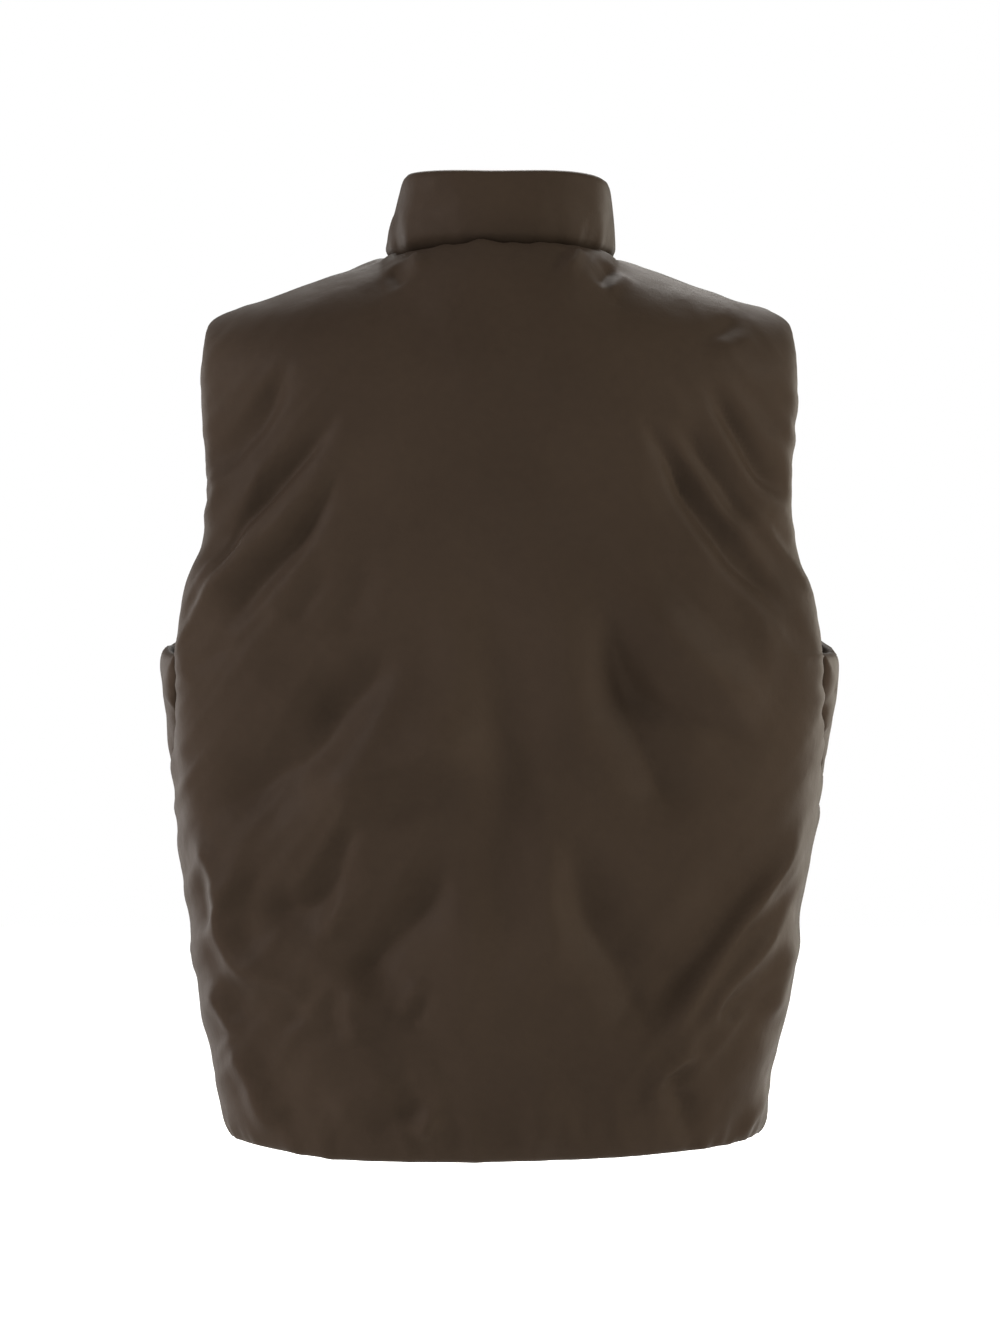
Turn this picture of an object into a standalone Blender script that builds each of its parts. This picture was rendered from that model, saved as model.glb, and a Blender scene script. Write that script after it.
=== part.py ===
"""A padded zip vest, filled out as it hangs on a wearer, with nobody in it.

Metres, +Z up. The front faces -Y, the wearer's left is +X, and the origin lies between the
shoulders, level with the base of the neck, where the wearer holds the vest up.

Each padded panel is one closed wall. It starts as a grid of points on the vest's outer form,
row by row from hem to shoulder. The wall's outer skin dips towards every seam and rolled edge,
and its inner skin lies behind it by the thickness of the padding.
"""

import math
from collections import defaultdict, namedtuple

import bpy
import numpy as np

# ---- driving sizes, in metres ------------------------------------------------------------
HEM_Z = -0.663
HEM_RISE_TO = -0.560
PIT_Z = -0.2945
BLADE_Z = -0.105
MID_PLANE_Y = -0.003

NECK_HALF_WIDTH = 0.0865
NECK_POINT_Y, NECK_POINT_Z = -0.012, 0.004
NECK_BACK_Y, NECK_BACK_Z = 0.078, 0.009
NECK_FRONT_Y, NECK_FRONT_Z = -0.103, -0.052
SHOULDER_END = (0.2180, -0.010, -0.0415)
SHOULDER_SAG = 0.002

COLLAR_HALF_WIDTH = 0.077
COLLAR_LEAN_X = -0.006
COLLAR_BACK_Y, COLLAR_BACK_Z = 0.064, 0.0665
COLLAR_SIDE_Y, COLLAR_SIDE_Z = -0.014, 0.062
COLLAR_FRONT_Y, COLLAR_FRONT_Z = -0.097, 0.034
COLLAR_BULGE = 0.0015
COLLAR_SQUARENESS = 0.14

PADDING = 0.016
EDGE_WALL = 0.005
SEAM_DIP, SEAM_REACH = 0.0065, 0.022
HEM_DIP, HEM_REACH = 0.0095, 0.024
COLLAR_REACH = 0.010
HALF_GAP = 0.00016

PIT_SEAM_ANGLE = math.radians(64)
LOW_SEAM_ANGLE, LOW_SEAM_Z = math.radians(102), -0.470
UNDERARM_SHARE = 0.74
UNDERARM_RISE_LEFT, UNDERARM_RISE_RIGHT, RISE_FROM = 0.0065, 0.0010, -0.400
SQUARENESS = 0.085
NECK_SLOPE = math.radians(58)
FLAT_TOP = math.radians(90)

ZIP_OPENING = 0.008
TAPE_INNER, TAPE_OUTER, TAPE_THICK = 0.0029, 0.0074, 0.0008
TAPE_START, TAPE_SHORT = 0.0008, 0.001
CHAIN_HALF, CHAIN_THICK = 0.0026, 0.0024
CHAIN_GAP, CHAIN_INTO_SLIDER = 0.0003, 0.0019
BOX_START, BOX_LENGTH, BOX_THICK = 0.0012, 0.007, 0.0034
SLIDER_DROP, SLIDER_SPAN = 0.017, 0.004
STOP_START, STOP_END, STOP_INNER = 0.0062, 0.0086, 0.0004
TAB_BAR_OUT, TAB_BAR_DROP = 0.0034, 0.0017

# ---- tables ------------------------------------------------------------------------------
# The form below the armholes: half widths at the widest, and how far the centre stands out.
Torso = namedtuple("Torso", "z left right")
TORSO = [
    Torso(HEM_Z, 0.2072, 0.1985),
    Torso(-0.628, 0.2108, 0.2030),
    Torso(-0.580, 0.2185, 0.2115),
    Torso(-0.516, 0.2290, 0.2215),
    Torso(-0.448, 0.2385, 0.2335),
    Torso(-0.370, 0.2468, 0.2453),
    Torso(PIT_Z, 0.2555, 0.2570),
]
# How far the hem rises towards the sides, by its share of the half width.
Hem = namedtuple("Hem", "share left right")
HEM = [
    Hem(0.00, 0.0000, 0.0000),
    Hem(0.35, 0.0000, 0.0020),
    Hem(0.60, 0.0008, 0.0045),
    Hem(0.80, 0.0050, 0.0068),
    Hem(0.95, 0.0080, 0.0088),
    Hem(1.00, 0.0088, 0.0094),
]
Profile = namedtuple("Profile", "z back front")
PROFILE = [
    Profile(HEM_Z, 0.128, -0.131),
    Profile(-0.600, 0.137, -0.141),
    Profile(-0.500, 0.146, -0.151),
    Profile(-0.400, 0.150, -0.155),
    Profile(-0.295, 0.151, -0.154),
    Profile(-0.200, 0.150, -0.149),
    Profile(BLADE_Z, 0.146, -0.139),
]
# The armhole's back edge, from the underarm up, and the height of its row at the centre.
BackEdge = namedtuple("BackEdge", "centre_z x y z")
BACK_ARMHOLE = [
    BackEdge(-0.268, 0.2400, 0.0660, -0.279),
    BackEdge(-0.240, 0.2345, 0.0680, -0.252),
    BackEdge(-0.208, 0.2238, 0.0700, -0.217),
    BackEdge(-0.175, 0.2190, 0.0710, -0.180),
    BackEdge(-0.140, 0.2210, 0.0680, -0.142),
    BackEdge(BLADE_Z, 0.2240, 0.0620, -0.105),
]
# The armhole's front edge, from the front of the underarm up; turn is how far the front wraps.
FrontEdge = namedtuple("FrontEdge", "centre_z x y z turn")
FRONT_ARMHOLE = [
    FrontEdge(-0.268, 0.2410, -0.0410, -0.2770, 80),
    FrontEdge(-0.240, 0.2335, -0.0560, -0.2510, 79),
    FrontEdge(-0.208, 0.2255, -0.0640, -0.2190, 78),
    FrontEdge(-0.175, 0.2195, -0.0680, -0.1820, 77),
    FrontEdge(-0.140, 0.2190, -0.0680, -0.1430, 76),
    FrontEdge(BLADE_Z, 0.2215, -0.0640, -0.1050, 75),
]
# The largest folds, as straight soft troughs, or ridges where the depth is negative.
Fold = namedtuple("Fold", "panel x0 z0 x1 z1 half_width depth")
FOLDS = [
    Fold("back", 0.113, -0.120, 0.205, -0.235, 0.017, 0.0060),
    Fold("back", 0.128, -0.178, 0.195, -0.270, 0.021, 0.0050),
    Fold("back", -0.150, -0.110, -0.200, -0.170, 0.017, 0.0050),
    Fold("back", -0.102, -0.122, -0.190, -0.245, 0.021, 0.0060),
    Fold("back", 0.080, -0.300, 0.200, -0.400, 0.028, 0.0050),
    Fold("back", 0.115, -0.425, 0.180, -0.475, 0.026, 0.0055),
    Fold("back", -0.085, -0.300, -0.125, -0.420, 0.028, 0.0040),
    Fold("back", -0.055, -0.450, -0.105, -0.560, 0.028, 0.0045),
    Fold("back", -0.210, -0.435, -0.125, -0.560, 0.018, -0.0045),
    Fold("front_left", 0.110, -0.130, 0.180, -0.235, 0.020, 0.0055),
    Fold("front_left", 0.095, -0.330, 0.185, -0.420, 0.027, 0.0050),
    Fold("front_left", 0.075, -0.500, 0.150, -0.570, 0.025, 0.0045),
    Fold("front_right", -0.120, -0.120, -0.185, -0.215, 0.020, 0.0055),
    Fold("front_right", -0.085, -0.290, -0.170, -0.390, 0.027, 0.0050),
    Fold("front_right", -0.100, -0.470, -0.185, -0.550, 0.025, 0.0045),
]

Panel = namedtuple("Panel", "points quads border first_row")

# ---- grid lines --------------------------------------------------------------------------
NECK_SHARE = 0.32
NECK_STEPS = 5
SHOULDER_STOPS = (0.10, 0.22, 0.35, 0.48, 0.61, 0.73, 0.83, 0.91, 0.965, 1.0)
TORSO_ROWS = (HEM_Z, -0.659, -0.649, -0.630, -0.593, -0.555, -0.520, -0.485,
              -0.450, -0.415, -0.380, -0.345, -0.318, PIT_Z)  # fmt: skip
CHEST_ROWS = (-0.270, -0.240, -0.210, -0.175, -0.140, BLADE_Z)
SHOULDER_ROWS = (0.20, 0.40, 0.60, 0.78, 0.91, 0.975, 1.0)
UNDERARM_STOPS = (0.12, 0.30, 0.50, 0.70, 0.88, 1.0)
COLLAR_STOPS = (0.0, 0.06, 0.20, 0.50, 0.78, 0.93, 1.0)

FABRIC, TAPE, METAL = "shell_fabric", "zip_tape", "zip_metal"
LOOKS = {
    FABRIC: ((0.048, 0.036, 0.027, 1.0), 0.55, 0.0),
    TAPE: ((0.030, 0.024, 0.019, 1.0), 0.80, 0.0),
    METAL: ((0.090, 0.080, 0.070, 1.0), 0.35, 1.0),
}


def smooth(t):
    """0 to 1 with level ends."""
    t = np.clip(t, 0.0, 1.0)
    return t * t * (3 - 2 * t)


def through(table, key, column, at):
    """The value of a table's column at a place between its rows, on a smooth curve through them."""
    xs = np.array([getattr(row, key) for row in table])
    ys = np.array([getattr(row, column) for row in table])
    slopes = np.gradient(ys, xs)
    i = int(np.clip(np.searchsorted(xs, at) - 1, 0, len(xs) - 2))
    step = xs[i + 1] - xs[i]
    t = (at - xs[i]) / step
    return float(
        (2 * t**3 - 3 * t**2 + 1) * ys[i]
        + (t**3 - 2 * t**2 + t) * step * slopes[i]
        + (3 * t**2 - 2 * t**3) * ys[i + 1]
        + (t**3 - t**2) * step * slopes[i + 1]
    )


def across(angle):
    """How far a section reaches sideways at this angle from its centre, as a share of its half width."""
    return math.sin(angle) * (1 + SQUARENESS * math.sin(2 * angle) ** 2)


def outwards(angle):
    """How far a section stands out at this angle from its centre, as a share of its depth."""
    return math.cos(angle) * (1 + SQUARENESS * math.sin(2 * angle) ** 2)


def seam_angle(z):
    """The side seam's angle from the centre back: it swings forward below the armhole."""
    swing = smooth((PIT_Z - z) / (PIT_Z - LOW_SEAM_Z))
    return PIT_SEAM_ANGLE + (LOW_SEAM_ANGLE - PIT_SEAM_ANGLE) * swing


def torso_edge(z, side):
    """The side seam's point on the row at this height, on the wearer's left, side 1, or right, side -1."""
    half = through(TORSO, "z", "left" if side > 0 else "right", z)
    back = through(PROFILE, "z", "back", z)
    y = MID_PLANE_Y + (back - MID_PLANE_Y) * outwards(seam_angle(z))
    return np.array([side * half * across(seam_angle(z)), y, z])


def armhole_edge(centre_z, side, face):
    """(the panel's side edge, the angle that its section turns through) for a row above the underarm."""
    if face == "back":
        x, y, z = torso_edge(PIT_Z, 1)
        rows = [BackEdge(PIT_Z, x, y, z), *BACK_ARMHOLE]
        turn = PIT_SEAM_ANGLE
    else:
        x, y, z = torso_point(PIT_Z, UNDERARM_SHARE, 1, face)
        turn = math.degrees(UNDERARM_SHARE * (math.pi - PIT_SEAM_ANGLE))
        rows = [FrontEdge(PIT_Z, x, y, z, turn), *FRONT_ARMHOLE]
        turn = math.radians(through(rows, "centre_z", "turn", centre_z))
    edge = [through(rows, "centre_z", axis, centre_z) for axis in "xyz"]
    return np.array(edge) * (side, 1, 1), turn


def on_section(edge, turn, centre_y, share, face):
    """A point of a level section that starts at the centre, share 0, and ends at edge, share 1."""
    start = math.asin(ZIP_OPENING * across(turn) / abs(edge[0])) if face == "front" else 0.0
    angle = start + (turn - start) * share
    x = edge[0] * across(angle) / across(turn)
    out = (outwards(angle) - outwards(turn)) / (1 - outwards(turn))
    return np.array([x, edge[1] + (centre_y - edge[1]) * out, edge[2]])


def torso_point(z, u, side, face):
    """A point of the form below the armholes: u is 0 at the centre and 1 at the side seam.

    The front's rows rise under the arm, where its top edge is the bottom of the armhole.
    """
    turn = seam_angle(z) if face == "back" else math.pi - seam_angle(z)
    point = on_section(torso_edge(z, side), turn, through(PROFILE, "z", face, z), u, face)
    rise = through(HEM, "share", "left" if side > 0 else "right", across(turn * u))
    point[2] += rise * smooth((HEM_RISE_TO - z) / (HEM_RISE_TO - HEM_Z))
    if face == "front":
        ahead = min(u / UNDERARM_SHARE, (1 - u) / (1 - UNDERARM_SHARE))
        underarm_rise = UNDERARM_RISE_LEFT if side > 0 else UNDERARM_RISE_RIGHT
        point[2] += underarm_rise * smooth(ahead) * smooth((z - RISE_FROM) / (PIT_Z - RISE_FROM))
    return point


def chest_point(centre_z, w, side, face):
    """A point of the form beside the armhole: w is 0 at the centre and 1 at the armhole's edge."""
    edge, turn = armhole_edge(centre_z, side, face)
    point = on_section(edge, turn, through(PROFILE, "z", face, centre_z), w, face)
    point[2] = centre_z + (edge[2] - centre_z) * w**3
    return point


def neckline_point(angle, side, face):
    """A point of the neckline: angle is 0 at the centre and a right angle at the neck point on the shoulder."""
    far_y, far_z = (NECK_BACK_Y, NECK_BACK_Z) if face == "back" else (NECK_FRONT_Y, NECK_FRONT_Z)
    across_share, out_share = math.sin(angle), math.cos(angle)
    return np.array(
        [
            side * NECK_HALF_WIDTH * across_share,
            NECK_POINT_Y + (far_y - NECK_POINT_Y) * out_share,
            NECK_POINT_Z + (far_z - NECK_POINT_Z) * out_share**1.5,
        ]
    )


def top_point(w, side, face):
    """A point of the panel's top edge: the neckline up to NECK_SHARE, and then the shoulder seam."""
    if w <= NECK_SHARE:
        start = math.asin(ZIP_OPENING / NECK_HALF_WIDTH) if face == "front" else 0.0
        return neckline_point(start + (math.pi / 2 - start) * w / NECK_SHARE, side, face)
    neck = neckline_point(math.pi / 2, side, face)
    end = np.array([side * SHOULDER_END[0], *SHOULDER_END[1:]])
    share = (w - NECK_SHARE) / (1 - NECK_SHARE)
    return neck + (end - neck) * share - np.array([0, 0, SHOULDER_SAG * math.sin(math.pi * share)])


def shoulder_point(t, w, side, face):
    """A point between the shoulder blades, t 0, and the neckline or shoulder seam, t 1."""
    low, high = chest_point(BLADE_Z, w, side, face), top_point(w, side, face)
    last = NECK_SLOPE + (FLAT_TOP - NECK_SLOPE) * smooth(w / NECK_SHARE)
    angle = t * last
    point = low + (high - low) * (1 - math.cos(angle)) / (1 - math.cos(last))
    point[2] = low[2] + (high[2] - low[2]) * math.sin(angle) / math.sin(last)
    return point


def half_columns():
    """The grid's lines from the centre, 0, to the armhole's edge, 1, with one on the neck point."""
    neck = [NECK_SHARE * i / NECK_STEPS for i in range(NECK_STEPS + 1)]
    return neck + [NECK_SHARE + (1 - NECK_SHARE) * stop for stop in SHOULDER_STOPS]


def half_grid(side, face):
    """One half of the form's back or front as rows of points, from the hem up and from the centre out.

    The front has more columns, which end under the arm. Above there its rows end in nan.
    """
    lines = half_columns()
    underarm = [UNDERARM_SHARE + (1 - UNDERARM_SHARE) * stop for stop in UNDERARM_STOPS]
    torso_lines = lines if face == "back" else [UNDERARM_SHARE * w for w in lines] + underarm
    missing = [np.full(3, np.nan)] * (len(torso_lines) - len(lines))
    rows = [[torso_point(z, u, side, face) for u in torso_lines] for z in TORSO_ROWS]
    rows += [[chest_point(z, w, side, face) for w in lines] + missing for z in CHEST_ROWS]
    rows += [[shoulder_point(t, w, side, face) for w in lines] + missing for t in SHOULDER_ROWS]
    return np.array(rows)


def back_grid():
    right, left = half_grid(-1, "back"), half_grid(1, "back")
    return np.concatenate([left[:, :0:-1], right], axis=1)


def collar_top_point(angle, side, face):
    """The point of the collar's top ring above a point of the neckline."""
    far_y, far_z = (COLLAR_BACK_Y, COLLAR_BACK_Z) if face == "back" else (COLLAR_FRONT_Y, COLLAR_FRONT_Z)
    lean = COLLAR_LEAN_X * math.sin(angle) ** 2
    corner = 1 + COLLAR_SQUARENESS * math.sin(2 * angle) ** 2 if face == "back" else 1.0
    x = side * COLLAR_HALF_WIDTH * math.sin(angle) * corner + lean
    if face == "front":
        x = side * max(abs(x), ZIP_OPENING)
    out_share = math.cos(angle) * corner
    return np.array(
        [
            x,
            COLLAR_SIDE_Y + (far_y - COLLAR_SIDE_Y) * out_share,
            COLLAR_SIDE_Z + (far_z - COLLAR_SIDE_Z) * out_share,
        ]
    )


def collar_ring_angles():
    """(angle, side, face) of each of the collar's grid lines, from the left of the zip round to its right."""
    start = math.asin(ZIP_OPENING / NECK_HALF_WIDTH)
    front = [start + (math.pi / 2 - start) * i / NECK_STEPS for i in range(NECK_STEPS + 1)]
    back = [math.pi / 2 * i / NECK_STEPS for i in range(NECK_STEPS)]
    left = [(angle, 1, "front") for angle in front] + [(angle, 1, "back") for angle in reversed(back)]
    right = [(angle, -1, "back") for angle in back[1:]] + [(angle, -1, "front") for angle in reversed(front)]
    return left + right


def collar_grid():
    rows = []
    for q in COLLAR_STOPS:
        row = []
        for angle, side, face in collar_ring_angles():
            low, high = neckline_point(angle, side, face), collar_top_point(angle, side, face)
            away = np.array([side * math.sin(angle), math.cos(angle) * (1 if face == "back" else -1), 0])
            from_zip = (abs(low[0]) - ZIP_OPENING) / (NECK_HALF_WIDTH - ZIP_OPENING)
            at_zip = min(1.0, 2 * from_zip) if face == "front" else 1.0
            row.append(low + (high - low) * q + away * COLLAR_BULGE * math.sin(math.pi * q) * at_zip)
        rows.append(row)
    return np.array(rows)


def panel_of(grid):
    """A grid's points in one list, with its quads, seen from outside the vest, its border's edges,
    and how many of its points lie on its first row."""
    present = ~np.isnan(grid[..., 0])
    number = np.cumsum(present).reshape(present.shape) - 1
    corners = (number[:-1, :-1], number[:-1, 1:], number[1:, 1:], number[1:, :-1])
    whole = present[:-1, :-1] & present[:-1, 1:] & present[1:, 1:] & present[1:, :-1]
    quads = np.stack([corner[whole] for corner in corners], axis=1)
    edges = {(int(quad[k]), int(quad[(k + 1) % 4])) for quad in quads for k in range(4)}
    border = sorted(edge for edge in edges if edge[::-1] not in edges)
    return Panel(grid[present], quads, border, grid.shape[1])


def key_of(point):
    """A name for a place, so that panels which meet there find each other."""
    return tuple(int(round(value * 1e5)) for value in point)


def shared_normals(panels):
    """Unit normals of each panel's points, averaged with the panels that it is sewn to."""
    total = defaultdict(lambda: np.zeros(3))
    own = {}
    for name, panel in panels.items():
        a, b, c, d = (panel.points[panel.quads[:, k]] for k in range(4))
        normal = np.zeros_like(panel.points)
        for k in range(4):
            np.add.at(normal, panel.quads[:, k], np.cross(c - a, d - b))
        for i in {i for edge in panel.border for i in edge}:
            total[key_of(panel.points[i])] += normal[i]
        own[name] = normal
    for name, panel in panels.items():
        for i in {i for edge in panel.border for i in edge}:
            point = panel.points[i]
            own[name][i] = total[key_of(point)]
            if abs(point[0]) < 1.01 * ZIP_OPENING and point[1] < 0:
                own[name][i][0] = 0.0
        own[name] /= np.linalg.norm(own[name], axis=1, keepdims=True)
    return own


def distance_to(points, edges):
    """How far each point is from the nearest of these edges."""
    nearest = np.full(len(points), np.inf)
    for a, b in edges:
        start, along = points[a], points[b] - points[a]
        share = np.clip((points - start) @ along / (along @ along), 0, 1)
        nearest = np.minimum(nearest, np.linalg.norm(points - start - share[:, None] * along, axis=1))
    return nearest


def rounding(distance, reach):
    """1 at an edge, falling to 0 at reach from it, as a quarter of a circle."""
    share = 1 - np.clip(distance / reach, 0, 1)
    return 1 - np.sqrt(1 - share**2)


def fold_depth(points, panel_name):
    """How far the panel's folds sink each of its points."""
    depth = np.zeros(len(points))
    for fold in FOLDS:
        if fold.panel != panel_name:
            continue
        start, along = np.array([fold.x0, fold.z0]), np.array([fold.x1 - fold.x0, fold.z1 - fold.z0])
        away = points[:, [0, 2]] - start
        share = away @ along / (along @ along)
        beside = np.linalg.norm(away - np.clip(share, 0, 1)[:, None] * along, axis=1)
        fade = smooth(1.25 - np.abs(2 * share - 1))
        depth += fold.depth * np.exp(-((beside / fold.half_width) ** 2)) * fade
    return depth


def seam_allowance(panel, normals):
    """Moves of the border's points into the panel, which leave half of each seam's gap."""
    inward = defaultdict(list)
    for a, b in panel.border:
        across_edge = np.cross(normals[a] + normals[b], panel.points[b] - panel.points[a])
        across_edge /= np.linalg.norm(across_edge)
        inward[a].append(across_edge)
        inward[b].append(across_edge)
    moves = np.zeros_like(panel.points)
    for i, (one, other) in inward.items():
        moves[i] = HALF_GAP * (one + other) / (1 + one @ other)
    return moves


def rim_faces(panel):
    """Triangles that close the border between a panel's outer and inner skins.

    Each pair splits its quad from the end whose place comes first, so that the rims of two
    panels that are sewn together bend the same way.
    """
    behind = len(panel.points)
    faces = []
    for b, a in panel.border:
        if key_of(panel.points[a]) < key_of(panel.points[b]):
            faces += [(a, b, b + behind), (a, b + behind, a + behind)]
        else:
            faces += [(a, b, a + behind), (b, b + behind, a + behind)]
    return faces


def material(name):
    found = bpy.data.materials.get(name)
    if found:
        return found
    made = bpy.data.materials.new(name)
    made.use_nodes = True
    colour, roughness, metallic = LOOKS[name]
    shader = made.node_tree.nodes["Principled BSDF"]
    shader.inputs["Base Color"].default_value = colour
    shader.inputs["Roughness"].default_value = roughness
    shader.inputs["Metallic"].default_value = metallic
    return made


def add_object(name, points, faces, look):
    mesh = bpy.data.meshes.new(name)
    mesh.from_pydata([tuple(point) for point in points], [], faces)
    mesh.materials.append(material(look))
    mesh.shade_smooth()
    mesh.set_sharp_from_angle(angle=math.radians(50))
    made = bpy.data.objects.new(name, mesh)
    bpy.context.scene.collection.objects.link(made)
    return made


def padded_wall(name, panel, normals):
    """One closed padded wall behind the form's points, pinched at its seams and rolled at its edges."""
    hem = [] if name == "collar" else [edge for edge in panel.border if max(edge) < panel.first_row]
    at_hem = distance_to(panel.points, hem)
    at_seam = distance_to(panel.points, [edge for edge in panel.border if edge not in hem])
    reach = COLLAR_REACH if name == "collar" else SEAM_REACH
    closing = rounding(np.minimum(at_seam, at_hem), reach)
    dip = np.maximum(SEAM_DIP * closing, HEM_DIP * rounding(at_hem, HEM_REACH))
    wall = PADDING - (PADDING - EDGE_WALL) * closing
    points = panel.points + seam_allowance(panel, normals)
    outer = points - normals * (dip + fold_depth(panel.points, name) * (1 - closing))[:, None]
    inner = points - normals * (dip + wall)[:, None]
    count = len(points)
    faces = [tuple(map(int, quad)) for quad in panel.quads]
    faces += [tuple(count + i for i in face[::-1]) for face in faces]
    faces += rim_faces(panel)
    return add_object(name, np.concatenate([outer, inner]), faces, FABRIC)


def zip_line(panels, normals):
    """The zip's middle line in the plane x = 0, from hem to collar top, as [(point, outward normal)]."""
    line = []
    for name in ("front_left", "collar"):
        points = panels[name].points
        at_zip = [i for i in range(len(points)) if 0 < points[i][0] < 1.01 * ZIP_OPENING and points[i][1] < 0]
        at_zip.sort(key=lambda i: points[i][2])
        for i in at_zip[1:] if line else at_zip:
            above_hem = points[i][2] - points[at_zip[0]][2] if name == "front_left" else np.inf
            dip = max(SEAM_DIP, HEM_DIP * float(rounding(above_hem, HEM_REACH)))
            point = points[i] - normals[name][i] * (dip + EDGE_WALL / 2)
            line.append((point * (0, 1, 1), normals[name][i]))
    return line


def line_length(line):
    points = np.array([point for point, _ in line])
    return np.concatenate([[0], np.cumsum(np.linalg.norm(np.diff(points, axis=0), axis=1))])


def cut_line(line, start, end):
    """The part of the zip's line between two distances from the hem."""
    along = line_length(line)
    points, normals = (np.array([pair[k] for pair in line]) for k in (0, 1))
    stops = [start, *[s for s in along if start + 1e-4 < s < end - 1e-4], end]
    cut = []
    for stop in stops:
        normal = np.array([np.interp(stop, along, normals[:, k]) for k in range(3)])
        point = np.array([np.interp(stop, along, points[:, k]) for k in range(3)])
        cut.append((point, normal / np.linalg.norm(normal)))
    return cut


def strip(name, line, low_x, high_x, thick, look):
    """A flat band that follows a line, from low_x to high_x."""
    points = []
    for point, normal in line:
        for x, out in ((low_x, 1), (high_x, 1), (high_x, -1), (low_x, -1)):
            points.append(point + np.array([x, 0, 0]) + normal * out * thick / 2)
    faces = [(3, 2, 1, 0)]
    for i in range(len(line) - 1):
        for k in range(4):
            a, b = 4 * i + k, 4 * i + (k + 1) % 4
            faces.append((a, b, b + 4, a + 4))
    last = 4 * (len(line) - 1)
    faces.append((last, last + 1, last + 2, last + 3))
    return add_object(name, points, faces, look)


def block(low, high):
    """A helper box for a union or a cut, in millimetres of the slider's own frame."""
    corners = [(x, y, z) for x in (low[0], high[0]) for y in (low[1], high[1]) for z in (low[2], high[2])]
    faces = [(0, 1, 3, 2), (4, 6, 7, 5), (0, 4, 5, 1), (2, 3, 7, 6), (0, 2, 6, 4), (1, 5, 7, 3)]
    return np.array(corners) / 1000, faces


def solid_of_blocks(name, blocks, look, cutters=()):
    """One body made of boxes that overlap, less the cutters."""
    base = add_object(name, *block(*blocks[0]), look)
    for number, corners in enumerate([*blocks[1:], *cutters]):
        helper = add_object(f"{name}_helper_{number}", *block(*corners), look)
        helper.hide_render = True
        helper.display_type = "WIRE"
        helper.parent = base
        change = base.modifiers.new(f"piece_{number}", "BOOLEAN")
        change.operation = "UNION" if number < len(blocks) - 1 else "DIFFERENCE"
        change.object = helper
    return base


def slider(place, tilt):
    """The slider at the top of the zip: two plates on a neck, with a bail for the pull tab.

    Its frame has X across, Y inwards and Z up the zip, with the zip's middle at the origin.
    """
    width, length, gap, plate = 4.7, 5.5, 1.5, 1.1
    neck_half, neck_low, neck_high = 1.3, 2.4, 5.0
    flange_in, flange_gap = 3.7, 0.9
    bail_half, bail_reach, bail_bar, bail_end, bail_post = 0.6, 5.3, 1.1, 3.6, 1.1
    front, back = -(gap + plate), gap + plate
    blocks = [
        ((-width, front, -length), (width, -gap, length)),
        ((-neck_half, -gap - 0.2, neck_low), (neck_half, gap + 0.2, neck_high)),
        ((-width, gap, -length), (width, back, length)),
    ]
    for side in (-1, 1):
        inner, outer = sorted((side * flange_in, side * width))
        blocks.append(((inner, -gap - 0.2, -length), (outer, -flange_gap, length - 3)))
        blocks.append(((inner, flange_gap, -length), (outer, gap + 0.2, length - 3)))
    for end in (-1, 1):
        low, high = sorted((end * bail_end, end * (bail_end - bail_post)))
        blocks.append(((-bail_half, -bail_reach, low), (bail_half, front + 0.2, high)))
    blocks.append(((-bail_half, -bail_reach, -bail_end), (bail_half, -bail_reach + bail_bar, bail_end)))
    made = solid_of_blocks("zip_slider", blocks, METAL)
    made.location = place
    made.rotation_euler = (tilt, 0, 0)


def pull_tab(place, tilt):
    """The pull tab, hanging from the slider's bail. Its origin is on the bar that turns in the bail."""
    half_bar, half_window, window_end = 0.5, 1.3, 3.4
    half_eye, eye_end, half_tag, tag_end, half_thick = 2.3, 4.6, 3.0, 24.0, 0.5
    blocks = [
        ((-half_eye, -half_thick, -eye_end), (half_eye, half_thick, half_bar)),
        ((-half_tag, -half_thick, -tag_end), (half_tag, half_thick, -eye_end + 0.3)),
    ]
    window = ((-half_window, -2.0, -window_end), (half_window, 2.0, -half_bar))
    made = solid_of_blocks("zip_pull_tab", blocks, METAL, cutters=[window])
    edge = made.modifiers.new("eased edges", "BEVEL")
    edge.width = 0.0002
    edge.segments = 1
    edge.limit_method = "ANGLE"
    carrier = bpy.data.objects.new("tab_hinge", None)
    bpy.context.scene.collection.objects.link(carrier)
    carrier.location = place
    carrier.rotation_euler = (tilt, 0, 0)
    made.parent = carrier


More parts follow.
